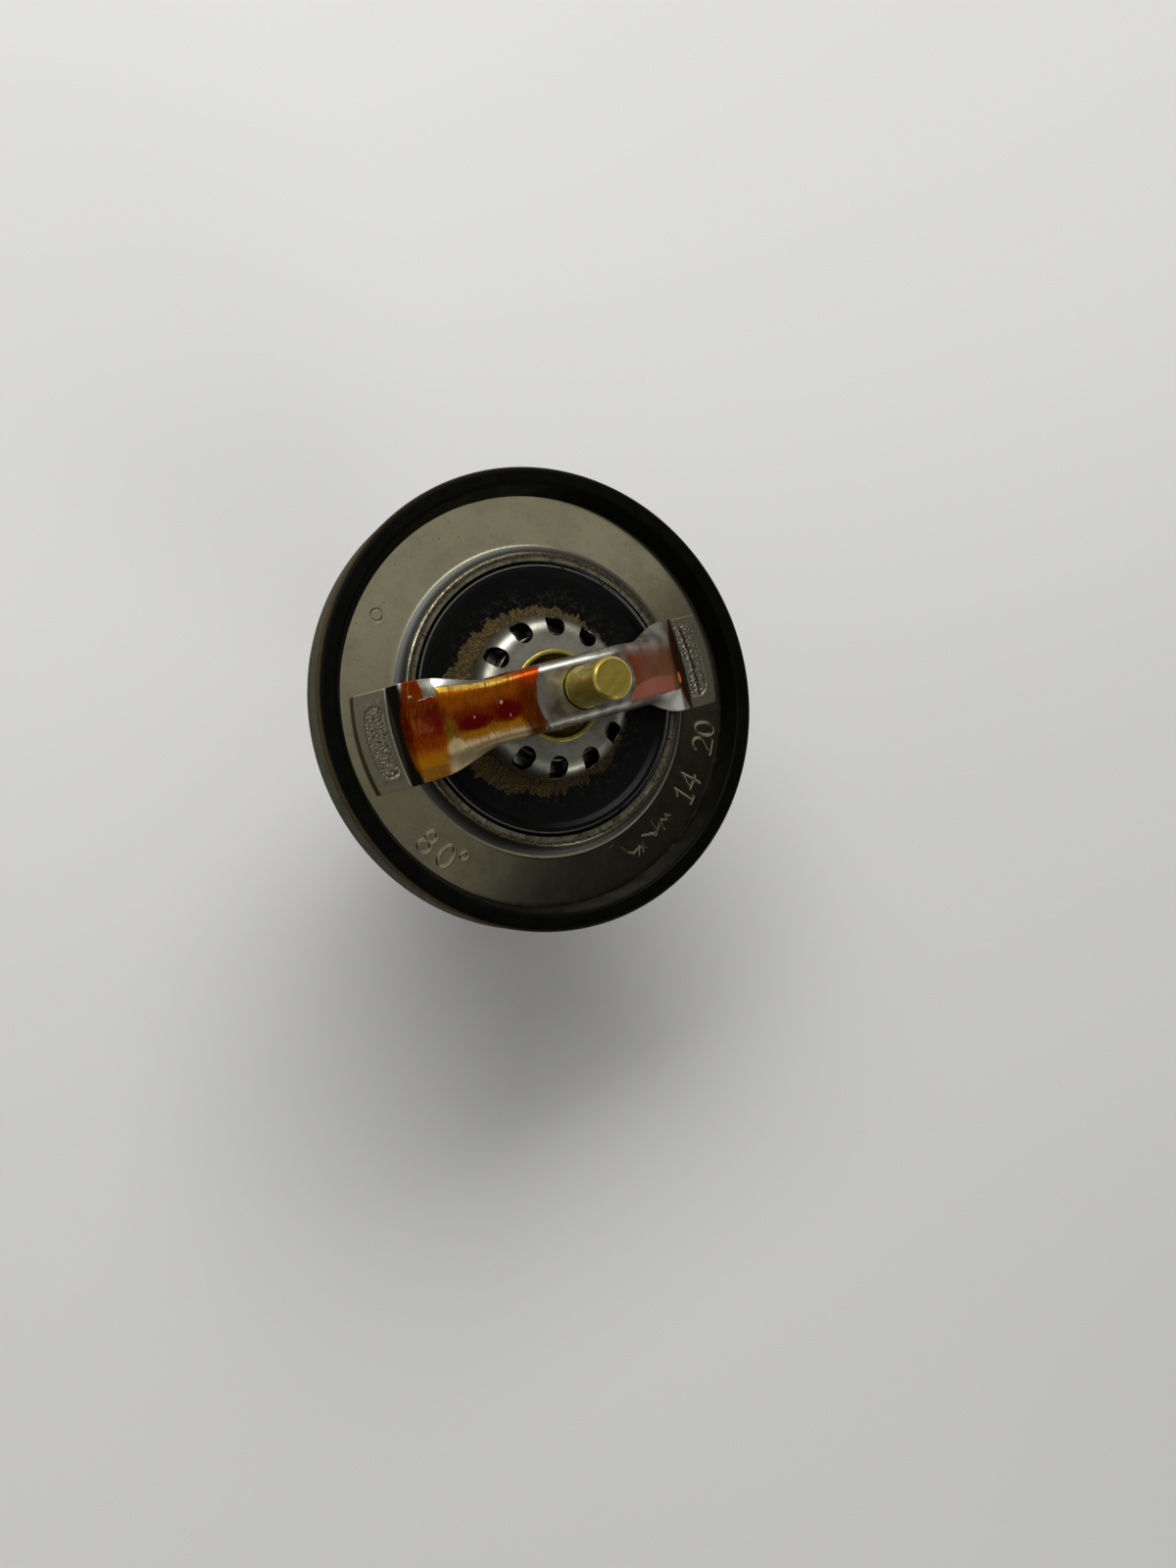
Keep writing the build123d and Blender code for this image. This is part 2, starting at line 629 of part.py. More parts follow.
# Bypass stem: steel pin with a flange welded under the cup and a groove for the clip.
stem_flange_z = cup_bottom_z - stem_flange
bypass_plate_z = stem_flange_z - bypass_drop
plate_under_z = bypass_plate_z - bypass_sheet
washer_top_z = plate_under_z - bypass_stack_gap
clip_top_z = washer_top_z - thrust_washer_sheet
clip_low_z = clip_top_z - clip_sheet
groove_low_z = clip_low_z - clip_groove_clearance
stem_end_z = groove_low_z - stem_end_land
with BuildPart() as bypass_stem:
    with BuildSketch(Plane.XY.offset(cup_bottom_z)):
        Circle(stem_flange_radius)
    extrude(amount=-stem_flange)
    with BuildSketch(Plane.XY.offset(stem_flange_z)):
        Circle(stem_radius)
    extrude(amount=stem_end_z - stem_flange_z)
    chamfer(bypass_stem.edges().group_by(Axis.Z)[0], stem_chamfer)
    with BuildSketch(Plane.XY.offset(groove_low_z)):
        Circle(stem_flange_radius)
        Circle(stem_groove_radius, mode=Mode.SUBTRACT)
    extrude(amount=clip_top_z - groove_low_z, mode=Mode.SUBTRACT)

# Bypass disc: pressed disc with a flat closing rim, a raised middle and a drawn bush.
bypass_bore = stem_radius + bypass_running_clearance
bush_radius = bypass_bore + bypass_bush_wall
bypass_base_z = bypass_plate_z - bypass_plate_rise
bypass_rim_inner = bypass_radius - bypass_rim_width
bypass_plate_radius = bypass_rim_inner - bypass_cone
with BuildPart() as bypass_disc:
    with BuildSketch(Plane.XZ):
        Polygon(
            (bypass_bore, plate_under_z),
            (bypass_bore, bypass_plate_z + bypass_bush_height),
            (bush_radius, bypass_plate_z + bypass_bush_height),
            (bush_radius, bypass_plate_z),
            (bypass_plate_radius, bypass_plate_z),
            (bypass_rim_inner + bypass_cone_offset, bypass_base_z + bypass_sheet),
            (bypass_radius, bypass_base_z + bypass_sheet),
            (bypass_radius, bypass_base_z),
            (bypass_rim_inner, bypass_base_z),
            (bypass_plate_radius - bypass_cone_offset, plate_under_z),
            align=None,
        )
    revolve(axis=Axis.Z)
    fillet(rings(bypass_disc, bypass_radius), bypass_edge_round)

# Thrust washer and retaining clip under the bypass disc.
with BuildPart() as thrust_washer:
    with BuildSketch(Plane.XY.offset(clip_top_z)):
        Circle(thrust_washer_radius)
        Circle(bypass_bore, mode=Mode.SUBTRACT)
    extrude(amount=thrust_washer_sheet)
with BuildPart() as retaining_clip:
    with BuildSketch(Plane.XY.offset(clip_low_z)):
        Circle(clip_radius)
        Circle(stem_groove_radius + collar_fit, mode=Mode.SUBTRACT)
        with Locations((clip_radius, 0)):
            Rectangle(2 * clip_radius, 2 * stem_groove_radius * clip_mouth_share, mode=Mode.SUBTRACT)
        with PolarLocations(clip_radius, 2, start_angle=clip_notch_turn, angular_range=180):
            Circle(clip_notch_radius, mode=Mode.SUBTRACT)
    extrude(amount=clip_sheet)


def sweep_coil(low_z, high_z, low_radius, high_radius, wire, turns):
    """A coil with one closed turn at each end, its end faces ground flat."""
    coil_low = low_z + wire * (1 - spring_ground_share)
    coil_high = high_z - wire * (1 - spring_ground_share)
    closing = 2 * wire * spring_closing_step
    rise = coil_high - coil_low - 2 * closing
    cone = math.atan2(high_radius - low_radius, rise)
    with BuildLine() as coil:
        Helix(pitch=closing, height=closing, radius=low_radius, center=(0, 0, coil_low))
        Helix(
            pitch=rise / turns / math.cos(cone),
            height=rise,
            radius=low_radius,
            center=(0, 0, coil_low + closing),
            cone_angle=math.degrees(cone),
        )
        Helix(
            pitch=closing, height=closing, radius=high_radius, center=(0, 0, coil_high - closing)
        )
    path = coil.wires()[0]
    with BuildSketch(Plane(origin=path @ 0, x_dir=(1, 0, 0), z_dir=path % 0)) as wire_end:
        Circle(wire)
    sweep(wire_end.sketch, path=path, is_frenet=True)
    split(bisect_by=Plane.XY.offset(low_z), keep=Keep.TOP)
    split(bisect_by=Plane.XY.offset(high_z), keep=Keep.BOTTOM)


# Main spring: from the frame's base to the back of the valve disc.
with BuildPart() as main_spring:
    sweep_coil(
        frame_base_z,
        collar_shoulder_z - spring_seat_gap,
        main_spring_radius,
        main_spring_radius,
        main_spring_wire,
        main_spring_turns,
    )

# Relief spring: from the relief plate to the ceiling of the cap.
relief_plate_top = relief_plate_z + relief_plate_sheet
with BuildPart() as relief_spring:
    sweep_coil(
        relief_plate_top + spring_seat_gap,
        cap_ceiling - spring_seat_gap,
        shoulder_x - relief_spring_inset,
        shoulder_x - relief_spring_inset,
        relief_spring_wire,
        relief_spring_turns,
    )

# Bypass spring: a cone from the stem's flange down to the bypass disc.
with BuildPart() as bypass_spring:
    sweep_coil(
        bypass_plate_z + spring_seat_gap,
        stem_flange_z,
        bypass_spring_large,
        bypass_spring_small,
        bypass_spring_wire,
        bypass_spring_turns,
    )

pieces = {
    "seal_ring": seal_ring,
    "flange": flange,
    "bridge": bridge,
    "piston_sleeve": piston_sleeve,
    "piston": piston,
    "valve_disc": valve_disc,
    "perforated_cap": perforated_cap,
    "relief_plate": relief_plate,
    "relief_spring": relief_spring,
    "element_collar": element_collar,
    "backup_washer": backup_washer,
    "rubber_boot": rubber_boot,
    "wax_cup": wax_cup,
    "wax_charge": wax_charge,
    "lower_frame": lower_frame,
    "main_spring": main_spring,
    "bypass_stem": bypass_stem,
    "bypass_disc": bypass_disc,
    "bypass_spring": bypass_spring,
    "thrust_washer": thrust_washer,
    "retaining_clip": retaining_clip,
}
for name, piece in pieces.items():
    piece.part.label = name
    export_step(piece.part, f"parts/{name}.step")
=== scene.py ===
import math

import bmesh
import bpy
import numpy as np
from mathutils import Matrix, Vector


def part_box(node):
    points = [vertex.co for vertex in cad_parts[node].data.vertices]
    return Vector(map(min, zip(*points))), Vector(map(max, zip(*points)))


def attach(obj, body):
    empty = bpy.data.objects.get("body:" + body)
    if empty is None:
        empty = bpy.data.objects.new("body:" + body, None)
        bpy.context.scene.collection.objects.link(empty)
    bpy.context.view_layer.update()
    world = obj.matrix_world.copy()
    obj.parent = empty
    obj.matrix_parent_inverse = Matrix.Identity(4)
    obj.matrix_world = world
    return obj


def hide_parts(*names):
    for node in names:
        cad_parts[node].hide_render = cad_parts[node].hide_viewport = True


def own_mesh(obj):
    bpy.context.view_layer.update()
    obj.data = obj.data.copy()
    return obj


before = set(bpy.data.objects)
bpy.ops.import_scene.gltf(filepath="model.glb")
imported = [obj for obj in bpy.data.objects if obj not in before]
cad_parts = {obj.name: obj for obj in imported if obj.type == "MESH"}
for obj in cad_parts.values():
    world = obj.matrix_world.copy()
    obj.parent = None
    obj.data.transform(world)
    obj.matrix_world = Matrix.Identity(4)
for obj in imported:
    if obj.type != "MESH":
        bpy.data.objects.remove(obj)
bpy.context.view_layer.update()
mm = 0.001                       # sizes below are in millimetres, meshes in metres
weldStep = 0.002                 # points closer than this are one point
turnFull = 2 * math.pi
chance = np.random.default_rng(11)


class Sizes(dict):
    # a piece's values, read as sizes.name
    __getattr__ = dict.__getitem__


# Mesh tools

def boxOf(node):
    # lowest and highest corner of a CAD node, in millimetres
    low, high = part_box(node)
    return np.array(low) / mm, np.array(high) / mm


def unit(vectors):
    # each vector over its own length
    return vectors / np.maximum(np.linalg.norm(vectors, axis=-1, keepdims=True), 1e-12)


def smooth(share):
    # 0 below 0, 1 above 1, and 3 s^2 - 2 s^3 between them
    share = np.clip(share, 0, 1)
    return share * share * (3 - 2 * share)


def bell(share):
    # 1 at 0, and e to the power of -s^2 away from it
    return np.exp(-share ** 2)


def grain(points, pitch, waves=9):
    # uneven ripples between about -1 and 1: the mean of sine waves in random directions,
    # each about one pitch long, times the square root of two over their number
    away = unit(chance.normal(size=(waves, points.shape[-1])))
    pace = turnFull / (pitch * chance.uniform(0.7, 1.5, waves))
    start = chance.uniform(0, turnFull, waves)
    total = sum(np.sin(points @ away[k] * pace[k] + start[k]) for k in range(waves))
    return total * math.sqrt(2 / waves) * 0.7


def roundedLine(corners, closed=True, steps=6):
    # corners are (r, z, radius): each gives way to an arc that touches both its sides
    parts = []
    last = len(corners) - 1
    for index, (r, z, radius) in enumerate(corners):
        here = np.array((r, z), float)
        if radius == 0 or (not closed and index in (0, last)):
            parts.append(here[None])
            continue
        before = unit(np.array(corners[index - 1][:2]) - here)
        after = unit(np.array(corners[(index + 1) % len(corners)][:2]) - here)
        half = 0.5 * math.acos(np.clip(before @ after, -1, 1))
        centre = here + unit(before + after) * radius / math.sin(half)
        first = here + before * radius / math.tan(half) - centre
        final = here + after * radius / math.tan(half) - centre
        begin = math.atan2(first[1], first[0])
        swing = math.atan2(final[1], final[0]) - begin
        swing = (swing + math.pi) % turnFull - math.pi
        angle = begin + swing * np.linspace(0, 1, steps + 1)
        parts.append(centre + polar(radius, angle))
    return np.concatenate(parts)


def divided(line, step, closed=True):
    # the same line with points no further apart than step
    ends = np.roll(line, -1, 0) if closed else line[1:]
    parts = []
    for begin, end in zip(line, ends):
        count = max(1, math.ceil(np.linalg.norm(end - begin) / step))
        parts.append(begin + (end - begin) * np.arange(count)[:, None] / count)
    if not closed:
        parts.append(line[-1:])
    return np.concatenate(parts)


def polar(r, angles, *z):
    # x = r cos a, y = r sin a, and z where it is given
    return np.stack([r * np.cos(angles), r * np.sin(angles), *z], -1)


def turned(line, angles):
    # a profile of (r, z) carried round the Z axis
    r, z = line[:, :1], line[:, 1:]
    return polar(r, angles, z + 0 * angles)


def evenAngles(count):
    # count equal steps of a whole turn, its end left out
    return np.arange(count) * turnFull / count


def gridFaces(rows, columns, wrapRows=False, wrapColumns=False):
    # quads between neighbours on a grid; a wrapped way joins its last line to its first
    i = np.arange(rows if wrapRows else rows - 1)
    j = np.arange(columns if wrapColumns else columns - 1)
    i, j = np.meshgrid(i, j, indexing="ij")
    ni, nj = (i + 1) % rows, (j + 1) % columns
    quads = [i * columns + j, i * columns + nj, ni * columns + nj, ni * columns + j]
    return np.stack(quads, -1).reshape(-1, 4)


def welded(parts):
    # several (top, under, faces) as one sheet, in which points at one place are one point
    tops, unders = (np.concatenate([part[k].reshape(-1, 3) for part in parts]) for k in (0, 1))
    starts = np.cumsum([0] + [part[0].size // 3 for part in parts])
    faces = np.concatenate([part[2] + start for part, start in zip(parts, starts)])
    keys = np.floor(tops / weldStep + 0.317).astype(np.int64)
    _, first, back = np.unique(keys, axis=0, return_index=True, return_inverse=True)
    return tops[first], unders[first], back.reshape(-1)[faces]


def shell(top, under, faces, edge, arc=3):
    # A sheet with both its sides, and a wall along each open side. The wall's corners are
    # quarter circles of radius edge: side + edge * (out * sin a - up * (1 - cos a)).
    count = len(top)
    ends = np.concatenate([faces[:, [k, (k + 1) % 4]] for k in range(4)])
    rim = ends[~np.isin(ends[:, 0] * count + ends[:, 1], ends[:, 1] * count + ends[:, 0])]
    up = unit(top - under)
    side = unit(np.cross(unit(top[rim[:, 1]] - top[rim[:, 0]]), up[rim[:, 0]]))
    out = np.zeros_like(top)
    np.add.at(out, rim[:, 0], side)
    np.add.at(out, rim[:, 1], side)
    rims = np.unique(rim)
    out, up = unit(out[rims]), up[rims]
    angles = np.linspace(0, math.pi / 2, arc + 1)[1:]
    rings = [top[rims] + edge * (out * math.sin(a) - up * (1 - math.cos(a))) for a in angles]
    for a in angles[::-1]:
        rings.append(under[rims] + edge * (out * math.sin(a) + up * (1 - math.cos(a))))
    number = np.full(count, -1)
    number[rims] = np.arange(len(rims))
    made = 2 * count + np.arange(len(rings) * len(rims)).reshape(len(rings), -1)
    levels = np.vstack([rims[None], made, count + rims[None]])
    a, b = number[rim[:, 0]], number[rim[:, 1]]
    walls = np.stack([levels[:-1, a], levels[1:, a], levels[1:, b], levels[:-1, b]], -1)
    points = np.concatenate([top, under, np.concatenate(rings)])
    return points, np.concatenate([faces, faces[:, ::-1] + count, walls.reshape(-1, 4)])


def shown(name, data):
    # an object in the scene for a mesh, a lamp or a camera
    made = bpy.data.objects.new(name, data)
    bpy.context.scene.collection.objects.link(made)
    return made


def makePiece(name, points, faces, finish, body, nodes, crease):
    # a mesh from whole arrays; its doubles are merged, and a shell turned inside out is righted
    mesh = bpy.data.meshes.new(name)
    mesh.from_pydata((points.reshape(-1, 3) * mm).tolist(), [], faces.tolist())
    work = bmesh.new()
    work.from_mesh(mesh)
    bmesh.ops.remove_doubles(work, verts=work.verts, dist=weldStep * mm)
    if work.calc_volume(signed=True) < 0:
        bmesh.ops.reverse_faces(work, faces=work.faces)
    work.to_mesh(mesh)
    work.free()
    mesh.shade_smooth()
    mesh.set_sharp_from_angle(angle=math.radians(crease))
    mesh.materials.append(finish.material)
    piece = shown(name, mesh)
    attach(piece, body)
    if nodes:
        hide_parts(*nodes)
    print(f"{name}: {sum(len(p.vertices) - 2 for p in mesh.polygons)} triangles")
    return piece


def dress(finish, *nodes):
    # gives CAD nodes a finish, their meshes untouched
    for node in nodes:
        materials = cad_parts[node].data.materials
        materials.clear()
        materials.append(finish.material)


# Shader tools

def mathNode(operation, swapped=False):
    # a method that adds one Math node on a signal and another value, or the other way round
    def apply(self, other=0.0):
        first, second = (other, self) if swapped else (self, other)
        return self.finish.node("ShaderNodeMath", {"operation": operation}, {0: first, 1: second})
    return apply


class Signal:
    # a node's output that takes part in Python arithmetic
    def __init__(self, finish, socket):
        self.finish = finish
        self.socket = socket

    __add__ = __radd__ = mathNode("ADD")
    __mul__ = __rmul__ = mathNode("MULTIPLY")
    __sub__ = mathNode("SUBTRACT")
    __rsub__ = mathNode("SUBTRACT", swapped=True)
    __truediv__ = mathNode("DIVIDE")
    __pow__ = mathNode("POWER")
    __abs__ = mathNode("ABSOLUTE")
    most = mathNode("MAXIMUM")
    least = mathNode("MINIMUM")

    def ramp(self, start, end):
        # 0 at start, 1 at end, and smooth between them
        settings = {"interpolation_type": "SMOOTHSTEP"}
        ends = {"Value": self, "From Min": start, "From Max": end}
        return self.finish.node("ShaderNodeMapRange", settings, ends)

    def between(self, low, high, soft):
        # 1 from low to high and 0 outside them, with steps from soft before to soft after each
        return self.ramp(low - soft, low + soft) * self.ramp(high + soft, high - soft)


class Finish:
    # one procedural material, worked out in millimetres from Object coordinates; its tones are
    # given by their 0 to 255 screen values
    def __init__(self, name, fixed, **tones):
        self.tones = {tone: linear(screen) for tone, screen in tones.items()}
        self.material = bpy.data.materials.new(name)
        self.material.use_nodes = True
        self.tree = self.material.node_tree
        self.shader = self.tree.nodes["Principled BSDF"]
        self.paint(fixed)
        place = self.node("ShaderNodeTexCoord", output="Object")
        scaled = {0: place, "Scale": 1 / mm}
        self.spot = self.node("ShaderNodeVectorMath", {"operation": "SCALE"}, scaled)
        self.x, self.y, self.z = (
            self.node("ShaderNodeSeparateXYZ", inputs={0: self.spot}, output=k) for k in range(3)
        )
        self.radius = (self.x * self.x + self.y * self.y) ** 0.5

    def feed(self, sockets, values):
        # a signal is linked to its socket, any other value is set there
        for key, value in values.items():
            if isinstance(value, Signal):
                self.tree.links.new(value.socket, sockets[key])
            else:
                sockets[key].default_value = value

    def node(self, kind, settings=None, inputs=None, output=0):
        # adds a node and gives back one of its outputs
        made = self.tree.nodes.new(kind)
        for key, value in (settings or {}).items():
            setattr(made, key, value)
        self.feed(made.inputs, inputs or {})
        return Signal(self, made.outputs[output])

    def paint(self, sockets):
        self.feed(self.shader.inputs, sockets)

    def layers(self, colour, *coats):
        # each coat is a share and what it lays over the colour so far: a tone's name or a colour
        colour = self.tones.get(colour, colour)
        for share, tone in coats:
            ends = {0: share, 6: colour, 7: self.tones.get(tone, tone)}
            colour = self.node("ShaderNodeMix", {"data_type": "RGBA"}, ends, 2)
        return colour

    def cover(self, colour, roughness, height, **others):
        # height is in millimetres, and only bends the light
        bump = self.node("ShaderNodeBump", inputs={"Height": height, "Distance": mm, "Strength": 1.0})
        self.paint({"Base Color": colour, "Roughness": roughness, "Normal": bump, **others})
        return self

    def vector(self, x, y, z):
        return self.node("ShaderNodeCombineXYZ", inputs={0: x, 1: y, 2: z})

    def around(self, along, across):
        # runs round the Z axis: the direction from the axis times along, and r + z times across
        r = self.radius.most(0.01)
        return self.vector(self.x / r * along, self.y / r * along, (r + self.z) * across)

    def noise(self, scale, detail=3.0, rough=0.55, where=None, warp=0.0):
        # values round 0.5, in waves about 1 / scale millimetres long
        values = {"Vector": where or self.spot, "Scale": scale, "Detail": detail,
                  "Roughness": rough, "Distortion": warp}
        return self.node("ShaderNodeTexNoise", inputs=values)

    def cells(self, scale):
        # distance from the nearest of scattered points
        return self.node("ShaderNodeTexVoronoi", inputs={"Vector": self.spot, "Scale": scale})

    def scratches(self, *angles, along, across, least=0.64):
        # thin lines: noise stretched along each angle, where it passes a level
        total = 0.0
        for angle in angles:
            c, s = math.cos(math.radians(angle)), math.sin(math.radians(angle))
            way, side = self.x * c + self.y * s, self.y * c - self.x * s
            where = self.vector(way * along, side * across, self.z * along)
            total = self.noise(1.0, 2.0, 0.6, where).ramp(least, 0.78) + total
        return total.least(1.0)


def linear(screen):
    # a colour's 0 to 255 screen values as linear light
    shares = np.array(screen) / 255
    light = np.where(shares <= 0.04045, shares / 12.92, ((shares + 0.055) / 1.055) ** 2.4)
    return (*light.tolist(), 1.0)


# Finishes

def stainlessFinish():
    # pressed steel sheet of the lower frame and the bypass disc
    finish = Finish("stainlessSheet", {"Metallic": 1.0},
                    light=(196, 194, 186), dull=(138, 133, 120), stain=(92, 66, 36))
    cloud = finish.noise(0.35, 4.0, 0.6).ramp(0.35, 0.7)
    lines = finish.scratches(20, 75, 130, along=0.2, across=6.0)
    stain = finish.noise(0.8, 5.0, 0.7).ramp(0.62, 0.78) * 0.5
    return finish.cover(
        finish.layers("light", (cloud * 0.7, "dull"), (stain, "stain")),
        cloud * 0.1 + 0.24 + lines * 0.12 + stain * 0.4,
        finish.noise(1.6, 3.0) * 0.02 + finish.noise(9.0, 2.0) * 0.004 - lines * 0.003,
    )


def capFinish(cap):
    # drawn cap: painted highlights and shade round its holes, brown where the wall meets the deposit
    finish = Finish("drawnCapSteel", {"Metallic": 1.0}, light=(176, 174, 158), dull=(120, 117, 101),
                    brown=(70, 46, 18), hole=(20, 16, 9), rim=(240, 238, 228))
    cloud = finish.noise(0.5, 4.0, 0.6).ramp(0.38, 0.68)
    rings = finish.noise(1.0, 2.0, 0.5, finish.around(3.0, 5.0)).ramp(0.4, 0.8)
    low = (finish.noise(1.1, 4.0) * 2.4 + cap.bottom - 0.3 - finish.z).ramp(-0.4, 0.7)
    inside = finish.radius.ramp(cap.radius - 0.5, cap.radius - 0.7)
    brown = (low * (1 - inside) * 0.8).least(1.0)
    # how far below the outer face a point lies: the face is flat, then an arc of the shoulder
    outward = (finish.radius - cap.radius + cap.shoulder).most(0.0)
    upward = (finish.z - cap.top + cap.shoulder).most(0.0)
    depth = cap.shoulder - (outward * outward + upward * upward) ** 0.5
    # painted shade: points more than 0.16 mm below the outer face, the holes' walls, turn near black
    sunk = depth.ramp(0.16, 0.34)
    # painted highlight: a thin band just below the face round each hole turns near white
    rim = depth.between(0.03, 0.15, 0.02)
    return finish.cover(
        finish.layers("light", (cloud * 0.6 + rings * 0.2, "dull"), (brown, "brown"), (rim, "rim"),
                      (sunk, "hole")),
        cloud * 0.06 + 0.4 + rings * 0.04 + brown * 0.3 + sunk * 0.4 - rim * 0.15,
        finish.noise(1.2, 3.0) * 0.008 + rings * 0.002,
    )


def flangeFinish(flange):
    # pressed flange: random scratches, smudges, a torn sheared edge and a rusty line at the rubber
    finish = Finish("flangeSteel", {"Metallic": 1.0}, light=(190, 184, 150), dull=(160, 154, 124),
                    torn=(98, 90, 70), rust=(104, 62, 24), dark=(56, 50, 38), shadedFlare=(86, 86, 82),
                    line=(236, 232, 214))
    cloud = finish.noise(0.16, 5.0, 0.62).ramp(0.35, 0.7)
    smudge = finish.noise(0.5, 5.0, 0.7, warp=1.5).ramp(0.5, 0.8)
    lines = finish.scratches(12, 58, 97, 141, along=0.15, across=9.0)
    brushed = finish.noise(1.0, 3.0, 0.6, finish.around(26.0, 0.7)).ramp(0.35, 0.75)
    torn = finish.z.ramp(flange.neckHeight - 0.16, flange.neckHeight - 0.04)
    band = finish.noise(1.0, 3.0, 0.6, finish.around(30.0, 4.0)).ramp(0.4, 0.62)
    lowerRight = (finish.x * 0.6 - finish.y).ramp(4.0, 26.0)
    rusty = (flange.lip - finish.radius).ramp(0.75, 0.05) * lowerRight
    rusty = rusty * finish.noise(0.9, 4.0).ramp(0.3, 0.6)
    specks = finish.cells(0.8).ramp(0.16, 0.06) * finish.noise(0.7, 2.0).ramp(0.48, 0.6)
    # painted shade: the neck above the face, except its torn edge, is painted a darker grey
    shadedFlare = finish.z.ramp(0.0, 0.14)
    # painted highlight: a thin near-white line along the crest's outer corner, broken by noise
    corner = flange.bore + flange.sheet
    line = finish.radius.between(corner - 0.13, corner + 0.02, 0.03) * finish.z.ramp(1.5, 1.65)
    line = line * finish.noise(0.6, 4.0, 0.7).ramp(0.3, 0.55)
    return finish.cover(
        finish.layers(
            "light",
            (cloud * 0.5 + smudge * 0.3, "dull"),
            (torn, finish.layers("torn", (band, "dark"))),
            (specks * 0.6, "dark"),
            (shadedFlare * (1 - torn), "shadedFlare"),
            (lines * 0.3 + smudge * 0.12, "dark"),
            (line, "line"),
            (rusty * 0.75, "rust"),
        ),
        cloud * 0.03 + 0.13 + smudge * 0.04 + lines * 0.06 + shadedFlare * (1 - line) * 0.36 + brushed * 0.02,
        finish.noise(0.25, 2.0) * 0.003 - lines * 0.0012 - torn * band * 0.012 + brushed * 0.0006,
    )


